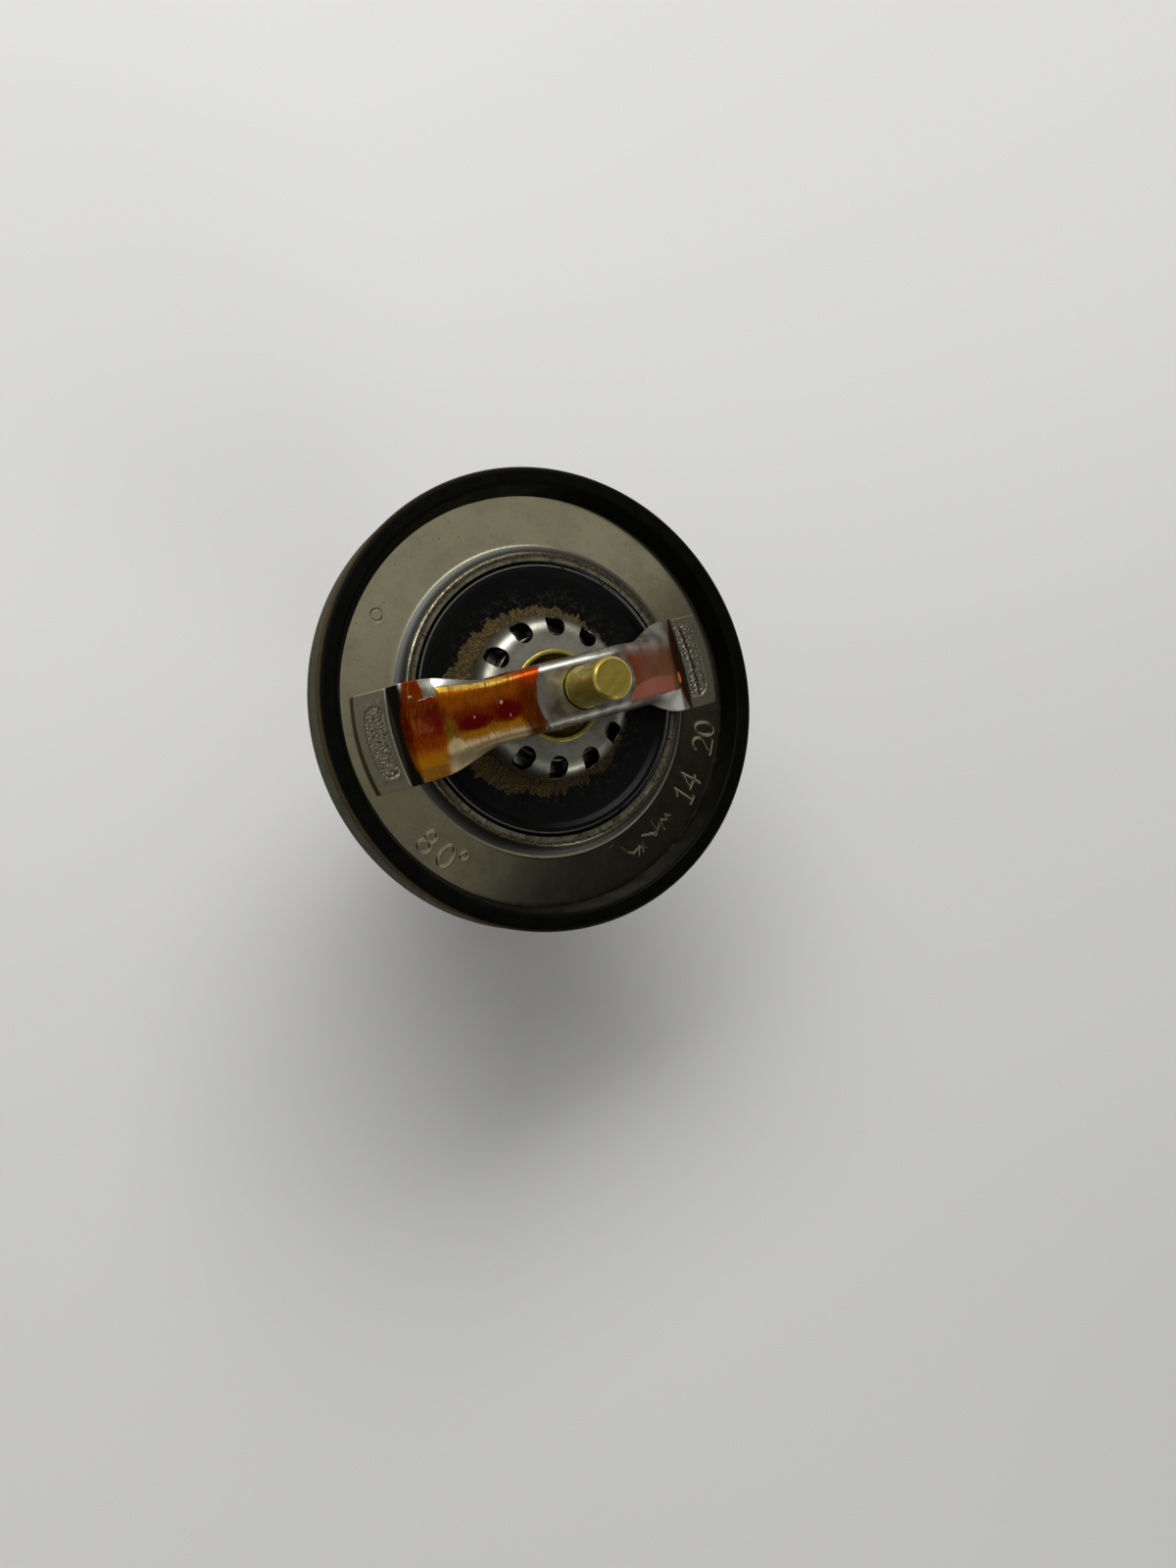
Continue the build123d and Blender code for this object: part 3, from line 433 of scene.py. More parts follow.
def bridgeFinish():
    # bare pressed steel with lacquer that ran over its left half and tinted its right leg
    finish = Finish(
        "bridgeSteel", {"Coat Roughness": 0.12, "Specular IOR Level": 0.05},
        light=(158, 157, 147), dull=(104, 101, 89), dark=(48, 45, 36), foot=(114, 110, 92),
        shade=(64, 64, 50), highlightWhite=(240, 238, 228), amber=(146, 74, 1), brown=(110, 30, 0),
        red=(90, 3, 0), honey=(160, 104, 8), beige=(226, 202, 152), deep=(112, 26, 0),
        haze=(150, 74, 42), crust=(112, 34, 0), orange=(136, 50, 0), gold=(174, 108, 4),
        low=(138, 94, 30), end=(88, 34, 0), glow=(156, 54, 0), olive=(122, 92, 18),
        bright=(246, 204, 90), dusk=(52, 12, 0), glint=(235, 225, 205), tea=(98, 39, 0),
        tan=(98, 57, 22), pink=(142, 77, 54), pool=(40, 9, 0), drop=(200, 104, 34),
    )
    x, y, z = finish.x, finish.y, finish.z
    bowed = x - (y + 0.5) * (y + 0.5) * 0.03
    wavy = (finish.noise(0.55, 5.0, 0.7) - 0.5) * 2.0
    streak = (finish.noise(1.0, 4.0, 0.7, finish.vector(bowed * 3.0, y * 0.35, z * 0.1)) - 0.5) * 1.6
    hair = finish.noise(1.0, 2.0, 0.6, finish.vector(bowed * 7.0, y * 0.45, z * 0.1)).ramp(0.5, 0.75)

    def blob(cx, cy, halfX, halfY, ragged=0.35):
        # an ellipse with an uneven edge
        u, v = (x - cx) / halfX, (y - cy) / halfY
        return ((u * u + v * v) ** 0.5 + (wavy + streak) * ragged).ramp(1.3, 0.7)

    # left half, laid down in the order it ran: its left end, then colours along the strap
    left = finish.layers(
        "crust",
        ((y + wavy).ramp(3.6, 0.4), "deep"),
        ((y + streak).ramp(-0.4, -1.9), "orange"),
        ((y + streak + wavy * 0.5).ramp(-2.2, -4.0), "gold"),
        ((y + wavy * 0.3).ramp(-4.9, -5.25), "low"),
        (blob(-20.3, 0.5, 1.2, 1.1, 1.0) * 0.5, "haze"),
        (hair * bowed.ramp(-20.2, -22.0) * 0.8, "gold"),
    )
    ridge = y - 3.7 - (-12.0 - x).most(0.0) * 0.2
    strip = ridge.between(-0.3, 0.45, 0.35) * x.ramp(-18.1, -17.7) * (streak + 0.5).ramp(0.1, 0.6)
    depth = finish.noise(1.3, 5.0, 0.75).ramp(0.48, 0.75) + (streak + 0.5).ramp(0.55, 0.2) * 0.6
    # painted highlights: small near-white glints on the lacquer at listed places
    specks = ((-21.1, 4.9, 0.2, 0.15), (-19.8, 4.1, 0.5, 0.08), (-14.65, -0.1, 0.09, 0.2),
              (-11.35, 0.9, 0.14, 0.2), (-10.7, -1.1, 0.07, 0.25), (-13.2, -2.9, 0.06, 0.3))
    lacquer = finish.layers(
        "brown",
        ((y + wavy).ramp(0.4, 2.2), "amber"),
        ((y + streak * 1.4).ramp(-1.1, -2.2), "honey"),
        ((y + streak * 1.8 + wavy * 0.6).ramp(-2.4, -3.7) * 0.9, "beige"),
        ((x + wavy).ramp(-17.7, -18.9), left),
        ((bowed + streak * 1.2).ramp(-10.2, -8.8), finish.layers("end", (y.ramp(1.2, 3.2), "glow"))),
        (hair * 0.3, "gold"),
        (blob(-18.9, 1.3, 1.4, 1.4, 0.8) * 0.6, "red"),
        (blob(-17.5, -1.3, 0.8, 2.5, 0.6) * 0.7, "olive"),
        (blob(-14.8, -0.75, 1.8, 1.0), "red"),
        (blob(-10.8, -0.45, 1.6, 1.3), "red"),
        (blob(-17.4, -3.4, 0.9, 1.2, 0.8) * 0.6, "beige"),
        # painted highlight: a bright yellow strip along the lacquer's rolled top edge
        (strip * x.ramp(-8.0, -12.5) * 0.95, "bright"),
        ((ridge + streak * 0.6).ramp(0.5, 0.85) * x.ramp(-14.5, -12.0), "deep"),
        ((depth * 0.6).least(0.75) * (y.ramp(-3.8, -2.6) * 0.7 + 0.3), "dusk"),
        *((blob(*glint, 0.8) * 0.5, "glint") for glint in specks),
    )
    share = (x - (y + 0.5) * (y + 0.5) * 0.02 + wavy * 0.15).ramp(-22.95, -22.6)
    share = share * (x - (y + 0.5) * (y + 0.5) * 0.07 + streak * 0.3).ramp(-6.8, -7.3)
    patch = (abs(x + 18.72 + wavy * 0.7) / 0.85) ** 4 + (abs(y - 6.0 + streak * 0.6) / 1.85) ** 4
    patch = patch.ramp(1.3, 0.8)
    edge = (ridge + wavy * 0.25).ramp(0.3, 0.6) * x.ramp(-11.5, -13.0) * x.ramp(-18.6, -18.1)
    thin = (streak + 0.5).ramp(0.4, 0.9) * (y + wavy * 0.5).ramp(-2.6, -4.2) * x.ramp(-18.5, -17.5) * 0.5
    share = share * (1 - patch.most(edge)) * (1 - thin)

    # right leg: a brown tint, a pink patch, bare corners and a dark pool along the fold
    tint = (x + y * y * 0.12 + wavy * 0.3).ramp(7.9, 8.5) * (y + wavy).ramp(5.2, 2.0)
    upper = y + (x - 14.0) * (x - 14.0) * 0.018 + wavy * 0.2
    pinker = upper.ramp(-0.95, -1.2) * (y + wavy * 0.3).ramp(-3.8, -3.5)
    pinker = pinker * (x - y + wavy * 0.5).ramp(9.6, 9.9) * (x + wavy * 0.5).ramp(18.6, 18.1)
    pinker = pinker * (0.85 + streak * 0.3)
    pool = (x - y * y * 0.035 + wavy * 0.3).ramp(18.6, 20.2)
    tinted = finish.layers(
        "tea",
        ((x + wavy * 2).ramp(11.5, 16.5), "tan"),
        (pinker, "pink"),
        (pool, "pool"),
        (blob(20.45, -1.95, 0.42, 0.8, 0.2), "drop"),
    )
    lowEdge = (y + wavy * 0.4).ramp(-3.5, -3.9)
    right = (tint * (1 - lowEdge * 0.75) * (0.96 + streak * 0.12)).most(pinker * 0.95).most(pool)
    right = right.least(1.0) * x.ramp(4.0, 5.0) * x.ramp(22.9, 22.5)

    # bare steel: painted shade on the risers, a painted highlight along the fold, olive feet with weld
    # marks
    # painted highlight: a near-white band along the crown's top rolled edge and the left leg's bare top
    # edge
    highlightBand = (y + wavy * 0.12).between(3.65, 4.1, 0.25) * x.ramp(-7.4, -6.6) * x.ramp(3.5, 1.0)
    highlightBand = highlightBand.most(ridge.between(0.5, 1.5, 0.3) * x.ramp(-8.0, -11.0))
    fold = abs(x) + y * y * 0.014 + wavy * 0.1
    marked = abs(x).between(24.2, 27.1, 0.3) * abs(y).ramp(6.2, 5.0)
    teeth = finish.noise(2.6, 3.0, 0.6)
    jagged = x + y * y * 0.012 + y * 0.05 - 25.0 + (finish.noise(1.4, 3.0, 0.6) - 0.5) * 0.9
    colour = finish.layers(
        "light",
        (finish.noise(0.4, 4.0).ramp(0.35, 0.7), "dull"),
        # painted shade: a darker spot on the crown beside the sleeve
        (blob(-5.4, 0.0, 1.7, 2.6, 0.3) * 0.45, "dark"),
        (highlightBand * 0.75, "highlightWhite"),
        (abs(x).ramp(23.0, 23.4), "foot"),
        # painted shade on the risers
        (abs(x).ramp(21.9, 22.3) * fold.ramp(24.0, 23.8), "dark"),
        # painted highlight: a thin line of bare steel tone along the left foot's fold
        (fold.between(23.95, 24.1, 0.06) * x.ramp(0.0, -1.0), "light"),
        (patch * 0.8, "shade"),
        # painted highlight: the bare lower edge of the right leg in near white
        (lowEdge * x.ramp(12.0, 16.5) * x.ramp(20.5, 19.5), "highlightWhite"),
        (share, lacquer),
        (right, tinted),
        # painted shade in the weld marks' pits and in the furrow beside their ridge, painted highlight on
        # the ridge
        (teeth.ramp(0.5, 0.36) * marked * 0.75, "dark"),
        (jagged.between(0.25, 0.75, 0.12) * marked * 0.8, "dark"),
        (jagged.between(-0.2, 0.1, 0.08) * marked * 0.6, "light"),
    )
    covered = share.most(right)
    lines = finish.scratches(8, 84, 150, along=0.2, across=8.0)
    height = finish.noise(0.6, 2.0) * 0.012 - lines * 0.002 + teeth * marked * 0.07
    finish.paint({"Metallic": 1.0 - covered * 0.35 - right * 0.5, "Coat Weight": share * 0.07})
    return finish.cover(
        colour,
        0.4 - covered * 0.08 + lines * 0.08 + abs(x).ramp(22.0, 23.4) * 0.1,
        height + covered * (streak * 0.016 + wavy * 0.012 + hair * 0.006 + 0.02),
    )


def valveFinish(crestRadius):
    # near-black disc, faintly brushed round, with a painted highlight on the crest of its rim
    finish = Finish("nearBlackSteel", {}, black=(11, 11, 10), blue=(26, 26, 25), line=(150, 148, 140),
                    brown=(34, 24, 9))
    brushed = finish.noise(1.0, 3.0, 0.65, finish.around(9.0, 2.6))
    cloud = finish.noise(0.3, 4.0, 0.6).ramp(0.4, 0.7)
    # painted highlight: a lighter, glossier line along the rim's crest
    crest = finish.radius.between(crestRadius - 0.12, crestRadius + 0.14, 0.05) * finish.z.ramp(1.5, 1.65)
    crest = crest * finish.noise(0.8, 3.0).ramp(0.25, 0.45)
    stain = finish.radius.ramp(17.2, 15.0) * finish.noise(1.4, 5.0, 0.7).ramp(0.5, 0.65) * 0.5
    blue = brushed.ramp(0.45, 0.8) * 0.6 + cloud * 0.2
    finish.paint({"Metallic": 0.75 - stain * 0.8 + crest * 0.25})
    return finish.cover(
        finish.layers("black", (blue, "blue"), (stain, "brown"), (crest, "line")),
        0.33 + brushed * 0.12 + stain * 0.4 - crest * 0.1,
        brushed * 0.006 + cloud * 0.004,
    )


def depositFinish():
    # dry crust of rust and scale: brown with golden grains and dark red specks
    finish = Finish("driedDeposit", {"Metallic": 0.0}, brown=(44, 34, 8), gold=(118, 93, 26),
                    dark=(12, 9, 3), red=(74, 14, 6))
    hairs = finish.noise(1.0, 4.0, 0.7, finish.around(46.0, 0.8))
    grains = finish.noise(4.5, 4.0, 0.7)
    specks = finish.cells(1.3).ramp(0.28, 0.12) * finish.y.ramp(-8.0, -12.0) * 0.8
    return finish.cover(
        finish.layers("brown", (grains.ramp(0.42, 0.66), "gold"), (hairs.ramp(0.46, 0.62) * 0.9, "dark"),
                      (specks, "red")),
        0.9,
        hairs * 0.06 + grains * 0.05,
    )


def brassFinish(name, hollow=0.0):
    # turned brass: fine turning marks, dull spots, random scratches, and painted shade inside the hollow
    finish = Finish(name, {"Metallic": 1.0}, bright=(216, 195, 96), dull=(174, 152, 62),
                    spot=(112, 86, 36), hollowShade=(38, 28, 12))
    cloud = finish.noise(0.9, 4.0, 0.65).ramp(0.36, 0.68)
    spots = finish.cells(0.85).ramp(0.3, 0.12) * finish.noise(1.3, 3.0).ramp(0.5, 0.62)
    turning = finish.vector(finish.x * 0.05, finish.y * 0.05, (finish.z + finish.radius) * 7.0)
    lines = finish.scratches(25, 80, 118, 160, along=0.4, across=10.0)
    # painted shade: points within the hollow's radius turn dark brown
    shadedHollow = finish.radius.ramp(hollow + 0.12, hollow - 0.12)
    height = finish.noise(1.0, 2.0, 0.5, turning) * 0.002 + cloud * 0.002 - lines * 0.002
    return finish.cover(
        finish.layers("bright", (cloud * 0.75, "dull"), (spots * 0.7, "spot"), (shadedHollow * 0.9, "hollowShade")),
        cloud * 0.1 + 0.3 + spots * 0.2 + lines * 0.1 + shadedHollow * 0.3,
        height - spots * 0.006,
    )


def rubberFinish(seal):
    # moulded rubber: near black in front, olive round the outside wall, a reddish moulding line
    finish = Finish("mouldedRubber", {"Metallic": 0.0, "Specular IOR Level": 0.05}, black=(3, 3, 2),
                    grey=(8, 8, 6), olive=(66, 64, 39), red=(84, 46, 26))
    dust = finish.noise(0.35, 5.0, 0.65).ramp(0.4, 0.75)
    outside = finish.radius.ramp(seal.outer - 0.5, seal.outer - 0.1)
    ridge = finish.z.between(seal.ridge - 0.15, seal.ridge + 0.15, 0.06) * outside
    streaks = finish.noise(1.0, 4.0, 0.6, finish.around(40.0, 1.5))
    olive = outside * (0.45 + streaks * 0.7)
    return finish.cover(
        finish.layers("black", (dust * 0.6, "grey"), (olive, "olive"), (ridge * 0.6, "red")),
        0.46 + dust * 0.16 + outside * 0.08,
        finish.noise(6.0, 3.0) * 0.008 + streaks * outside * 0.01 + dust * 0.01,
    )


def springFinish():
    # drawn spring wire: dark grey, with traces of brown
    finish = Finish("springWire", {"Metallic": 1.0}, grey=(112, 110, 106), dark=(58, 56, 53),
                    brown=(90, 58, 30))
    cloud = finish.noise(0.6, 4.0, 0.65).ramp(0.38, 0.66)
    brown = finish.noise(1.1, 5.0, 0.7).ramp(0.6, 0.74) * 0.6
    colour = finish.layers("grey", (cloud, "dark"), (brown, "brown"))
    return finish.cover(colour, 0.3 + cloud * 0.12 + brown * 0.3, finish.noise(7.0, 3.0) * 0.006)


def groundFinish():
    # ground steel pins and washers: rings of grinding marks, a little stain
    finish = Finish("groundSteel", {"Metallic": 1.0}, light=(190, 190, 188), dull=(146, 144, 138))
    where = finish.vector(finish.x * 0.1, finish.y * 0.1, finish.z * 9.0)
    marks = finish.noise(1.0, 2.0, 0.5, where)
    cloud = finish.noise(0.5, 4.0, 0.6).ramp(0.4, 0.7)
    colour = finish.layers("light", (cloud, "dull"))
    return finish.cover(colour, 0.2 + cloud * 0.12 + marks * 0.06, marks * 0.004)


def mouldedFinish(name, rough, pitch, light, dull):
    # soft or moulded fillers: two near tones in clouds, with a fine grain
    finish = Finish(name, {"Metallic": 0.0}, light=light, dull=dull)
    cloud = finish.noise(pitch, 4.0, 0.6).ramp(0.35, 0.68)
    colour = finish.layers("light", (cloud, "dull"))
    return finish.cover(colour, cloud * 0.12 + rough, finish.noise(pitch * 9, 2.0) * 0.01)


# Seal ring

def makeSeal():
    # a U-shaped profile of (r, z) turned round the Z axis: x = r cos a, y = r sin a. Its wall and
    # lips are then moved in and out by bell curves of z and by ripples.
    low, high = boxOf("seal_ring")
    flangeLow, flangeHigh = boxOf("flange")
    seal = Sizes(
        outer=high[0], front=high[2], back=low[2], lip=30.2, taper=1.1, round=0.8,
        notch=flangeHigh[0], sheet=-flangeLow[2], ridge=2.72, ridgeHeight=0.07, groove=1.9,
        grooveDepth=0.35, columns=360,
    )
    wall = seal.outer - seal.ridgeHeight
    mouth = seal.lip + seal.taper
    corners = [
        (seal.lip, 0.0, 0.0), (mouth, seal.front, 0.55), (wall, seal.front, seal.round),
        (wall, seal.back, seal.round), (mouth, seal.back, 0.55),
        (seal.lip, -seal.sheet, 0.0), (seal.notch, -seal.sheet, 0.0),
        (seal.notch, 0.0, 0.0),
    ]
    line = divided(roundedLine(corners, steps=7), 0.16)
    angles = evenAngles(seal.columns)
    points = turned(line, angles)
    r, z = np.split(line, 2, 1)
    outside = smooth((r - wall + 0.25) / 0.2)
    ring = polar(1, angles)
    # the wall: a moulding ridge, a rounded groove and two faint lines, each a bell curve in z
    ridge = seal.ridgeHeight * bell((z - seal.ridge + 0.02 * grain(ring, 0.9)) / 0.1)
    groove = seal.grooveDepth * bell(((z - seal.groove) / 0.28) ** 2)
    faint = 0.05 * bell((z + 2.6) / 0.12) + 0.04 * bell((z - 0.4) / 0.1)
    swell = outside * (ridge - groove - faint)
    # the lips: their edges wander a little, as rubber does where it was trimmed
    lips = smooth((mouth + 0.2 - r) / 0.9) * (np.abs(z + seal.sheet / 2) > seal.sheet / 2 + 0.02)
    swell = swell + lips * 0.05 * (grain(ring, 0.35) + 0.6 * grain(ring, 0.12))
    points[..., :2] += swell[..., None] * ring
    faces = gridFaces(len(line), seal.columns, True, True)
    makePiece("sealRing", points, faces, rubberFinish(seal), "housing", ["seal_ring"], 60)


# Flange with its drawn neck and stamped marks

def ellipseLine(x, y, width, height, begin=0, end=360, steps=18):
    # (x + width cos a, y + height sin a) for a from begin to end degrees
    angle = np.radians(np.linspace(begin, end, steps + 1))
    return polar(1, angle) * (width, height) + (x, y)


digitStrokes = {                 # one unit high, centred, in strokes
    "0": [ellipseLine(0, 0, 0.29, 0.5)],
    "1": [[(-0.2, 0.26), (0.03, 0.5), (0.03, -0.5)], [(-0.14, -0.5), (0.2, -0.5)]],
    "2": [[*ellipseLine(0, 0.2, 0.28, 0.3, 165, -30, 12), (-0.3, -0.5), (0.32, -0.5)]],
    "4": [[(0.14, -0.5), (0.14, 0.5), (-0.32, -0.16), (0.32, -0.16)]],
    "8": [ellipseLine(0, 0.25, 0.23, 0.25), ellipseLine(0, -0.25, 0.27, 0.25)],
}


def strokeDistance(u, v, strokes):
    # distance from each point to the nearest segment of a set of strokes
    nearest = np.full(u.shape, 1e3)
    for stroke in strokes:
        for (x0, y0), (x1, y1) in zip(stroke, stroke[1:]):
            dx, dy = x1 - x0, y1 - y0
            share = np.clip(((u - x0) * dx + (v - y0) * dy) / (dx * dx + dy * dy), 0, 1)
            nearest = np.minimum(nearest, np.hypot(u - x0 - share * dx, v - y0 - share * dy))
    return nearest


def stampedHeight(r, angle, marks):
    # each mark is (degrees, radius, size, strokes, width, depth): a round-bottomed furrow with a
    # burr on each side, so height = -depth * bell(d / width) + burr * bell((d - 1.5 width) / width)
    height = np.zeros(np.broadcast(r, angle).shape)
    for degrees, centre, size, strokes, width, depth in marks:
        u = (angle - math.radians(degrees)) * centre / size
        v = (centre - r) / size
        near = (np.abs(u) < 0.9) & (np.abs(v) < 0.9)
        u, v = np.broadcast_to(u, near.shape)[near], np.broadcast_to(v, near.shape)[near]
        distance = strokeDistance(u, v, strokes) * size / width
        height[near] -= depth * (bell(distance) - 0.3 * bell((distance - 1.7) / 0.6))
    return height


def makeFlange():
    # a profile of (r, z) turned round the Z axis: a flat face, a quarter circle up to the neck's
    # crest, and the same at a sheet's thickness below. The face sinks by the depth of the marks.
    low, high = boxOf("flange")
    flange = Sizes(
        rim=high[0], neckHeight=high[2], sheet=-low[2], bore=20.2, lip=30.2, edgeBreak=0.2,
        fineStep=0.15, coarseStep=0.8, fineSpans=((139, 143), (207, 229), (283, 341)),
        digitHeight=3.4, tornStart=0.45, tornWidth=0.35,
    )
    height, sheet, broken = flange.neckHeight, flange.sheet, flange.edgeBreak
    # stamped numbers: text, where it starts, its radius and the step between digits, in degrees
    numbers = (("80", 213.2, 27.3, 7.0), ("14", 313.3, 26.9, 5.4), ("20", 331.6, 27.2, 5.4))
    marks = [
        (degrees + place * step, centre, flange.digitHeight, digitStrokes[letter], 0.14, 0.045)
        for text, degrees, centre, step in numbers for place, letter in enumerate(text)
    ]
    ring = [ellipseLine(0, 0, 0.5, 0.5)]
    marks += [(225.0, 25.9, 1.1, ring, 0.15, 0.06), (141.0, 27.2, 1.7, ring, 0.14, 0.045)]
    for degrees, centre in ((286.5, 25.9), (290.5, 26.7), (295, 25.6), (298.5, 26.9), (303, 26.2)):
        ends = chance.uniform(-0.5, 0.5, (5, 2)) * (1.0, 0.75)
        marks.append((degrees, centre, 3.0, [ends[np.argsort(ends[:, 0])]], 0.1, 0.03))
    marks.append((279.9, 23.9, 0.5, [[(0, 0), (0.1, 0.1)]], 0.2, 0.05))

    # profile: the face with fine rows under the marks, the neck's flare, its crest, and back below
    bend = flange.bore + sheet + height
    top = bend - height
    outer = np.radians(np.linspace(270, 180, 15)[1:-1])
    inner = np.radians(np.linspace(180, 270, 13))
    face = np.concatenate([[flange.rim, 31.2], np.linspace(30.4, 29.5, 5)[:-1],
                           np.linspace(29.5, 24.9, 46)[:-1], np.linspace(24.9, bend, 8)])
    crest = np.linspace(top - 0.35, flange.bore + 0.1, 7)
    line = np.concatenate([
        np.stack([face, 0 * face], -1),
        polar(height, outer) + (bend, height),
        [(top, height - broken), (top - 0.07, height - 0.06), (top - broken, height)],
        np.stack([crest, 0 * crest + height], -1),
        polar(height + sheet, inner) + (bend, height),
        [(25.5, -sheet), (28.5, -sheet), (30.2, -sheet), (flange.rim, -sheet)],
    ])
    # columns stand closer together where the face is stamped
    degrees, begin = [], 0
    for fineFrom, fineTo in flange.fineSpans:
        degrees.append(np.arange(begin, fineFrom, flange.coarseStep))
        degrees.append(np.arange(fineFrom, fineTo, flange.fineStep))
        begin = fineTo
    angles = np.radians(np.concatenate([*degrees, np.arange(begin, 360, flange.coarseStep)]))
    points = turned(line, angles)
    r, z = np.split(line, 2, 1)
    stamped = (np.abs(z) < 1e-6) & (r > bend - 0.01)
    points[..., 2] += stamped * stampedHeight(r, angles[None], marks)
    # sheared edge: the crest is uneven, and its inner half is torn lower
    ring = polar(flange.bore, angles)
    torn = smooth((top - flange.tornStart - r) / flange.tornWidth) * (z > height - 0.01)
    drop = 0.08 + 0.02 * grain(ring, 3.0) + 0.015 * grain(ring, 0.7)
    points[..., 2] -= np.clip(torn * drop, 0, 0.25)
    faces = gridFaces(len(line), len(angles), True, True)
    makePiece("flangePlate", points, faces, flangeFinish(flange), "housing", ["flange"], 50)


# Bridge: a strap rolled over its crown, with a riser and a flat foot at each end

def makeBridge():
    # a sheet over s, the way along the strap from its middle, and w, the way across it: the spine
    # gives x and z for s, and the section gives y and how far the sheet has sunk for w
    _, high = boxOf("bridge")
    bridge = Sizes(
        sheet=1.1, halfWidth=high[1], end=28.7, top=14.0, crownFlat=5.5, crownBend=9.0, kneeX=22.0,
        kneeZ=3.4, kneeBend=1.6, foldX=23.3, foldBend=0.7, spine=3.1, roll=1.4,
        rollAngle=math.radians(80), crownStrip=6.2, rollHold=0.6, rollLeft=0.06, flatStart=0.93,
        rollSoft=3.0, hole=3.0, edge=0.16, columns=96, holeCells=16, warpCells=36, kneeRows=0.6,
        footRows=10.0, spineEnd=30.0,
    )
    weld = {"x": (26.2, 25.3), "y": (-0.15, 0.4), "half": (5.05, 5.9), "radius": (1.35, 1.85),
            "bow": (0.03, 0.012), "depth": (0.08, 0.08), "ridge": (0.0, 0.15)}
    fall = bridge.top - bridge.kneeZ
    corner = bridge.crownFlat + bridge.crownBend * math.tan(
        0.5 * math.atan2(fall, bridge.kneeX - bridge.crownFlat))
    legAngle = math.atan2(fall, bridge.kneeX - corner)
    corners = [(0, bridge.top, 0), (corner, bridge.top, bridge.crownBend),
               (bridge.kneeX, bridge.kneeZ, bridge.kneeBend),
               (bridge.foldX, bridge.sheet, bridge.foldBend), (bridge.spineEnd, bridge.sheet, 0)]
    spine = roundedLine(corners, closed=False, steps=40)
    spineAt = np.concatenate([[0], np.cumsum(np.linalg.norm(np.diff(spine, axis=0), axis=1))])
    spineLength = corner + math.hypot(bridge.kneeX - corner, fall)
    spineLength += bridge.crownBend * (legAngle - 2 * math.tan(legAngle / 2))
    footStart = spineAt[np.argmax(spine[:, 1] <= bridge.sheet + 1e-6)]
    cell = (bridge.crownStrip - bridge.edge) * 2 / bridge.columns
    inner, warpTo = bridge.holeCells * cell, bridge.warpCells * cell
    kneeFrom = spineLength - bridge.kneeRows
    half = np.concatenate([
        np.arange(0, bridge.warpCells, 2) * cell,
        np.linspace(warpTo, kneeFrom, 52)[:-1],
        np.linspace(kneeFrom, footStart, 26),
        footStart + np.linspace(0, bridge.footRows, 57)[1:],
    ])
    distance = np.concatenate([-half[:0:-1], half])[:, None]
    across = np.linspace(-1, 1, bridge.columns + 1)[None]

    def rollOf(s):
        # the roll's share: whole up to rollHold, down a smooth step to rollLeft at the knee, then gone
        share = s / (bridge.flatStart * spineLength)
        left = 1 - (1 - bridge.rollLeft) * smooth((share - bridge.rollHold) / (1 - bridge.rollHold))
        return left * np.clip((spineLength - s) / (spineLength * (1 - bridge.flatStart)), 0, 1)

    roll = rollOf(np.abs(distance))
    strip = bridge.crownStrip + (bridge.halfWidth - bridge.crownStrip) * (1 - roll)
    s = distance + 0 * across
    w = across * (strip - bridge.edge)

    # hole: a square of cells is left out, and the cells round it bend to the circle
    pull = np.clip((warpTo - np.maximum(np.abs(s), np.abs(w))) / (warpTo - inner), 0, 1)
    pull = 1 - pull + pull * (bridge.hole + bridge.edge) / np.maximum(np.hypot(s, w), 1e-6)
    s, w = s * pull, w * pull
    middle = np.maximum(np.abs(distance[:-1] + distance[1:]) / 2, np.abs(across[:, :-1] + across[:, 1:])
                        / 2 * (bridge.crownStrip - bridge.edge))
    keep = (middle > inner - 1e-6).ravel()

    # section: flat to the spine's edge, then an arc that softens as the roll fades, then straight
    roll = rollOf(np.abs(s))
    angle = bridge.rollAngle * roll
    bend = bridge.roll + bridge.rollSoft * (1 - roll)
    beyond = np.maximum(np.abs(w) - bridge.spine, 0)
    bent = np.minimum(beyond / bend, angle)
    straight = beyond - bent * bend
    lateral = np.sign(w) * (np.minimum(np.abs(w), bridge.spine) + bend * np.sin(bent)
                            + straight * np.cos(bent))
    sunk = bend * (1 - np.cos(bent)) + straight * np.sin(bent)

    # foot: rows share out the way from the fold to the round end
    def onSpine(s):
        # the spine's x and z at a distance along it
        return np.interp(s, spineAt, spine[:, 0]), np.interp(s, spineAt, spine[:, 1])
    footShare = np.clip((np.abs(distance) - footStart) / bridge.footRows, 0, 1)
    far, nudge = np.minimum(np.abs(s), footStart), 0.02
    spineX, spineZ = onSpine(far)
    (x0, z0), (x1, z1) = onSpine(far - nudge), onSpine(far + nudge)
    slope = np.arctan2(z0 - z1, np.maximum(x1 - x0, 1e-9)) * (np.abs(s) < footStart) * (np.abs(s) > nudge)
    endX = np.sqrt((bridge.end - bridge.edge) ** 2 - lateral ** 2)
    spineX = spineX + footShare * (endX - spineX)
    way = np.where(s < 0, -1, 1)
    top = np.stack([way * (spineX - sunk * np.sin(slope)), lateral, spineZ - sunk * np.cos(slope)], -1)
    normal = np.stack([way * np.sin(slope) * np.cos(bent), np.sign(w) * np.sin(bent),
                       np.cos(slope) * np.cos(bent)], -1)
    under = top - bridge.sheet * normal

    # weld marks, one on each foot: a sunk, bowed oblong with a hammered floor and a raised burr;
    # the right one also has a jagged ridge along it with a furrow beside it, both bell curves
    def ofSide(key):
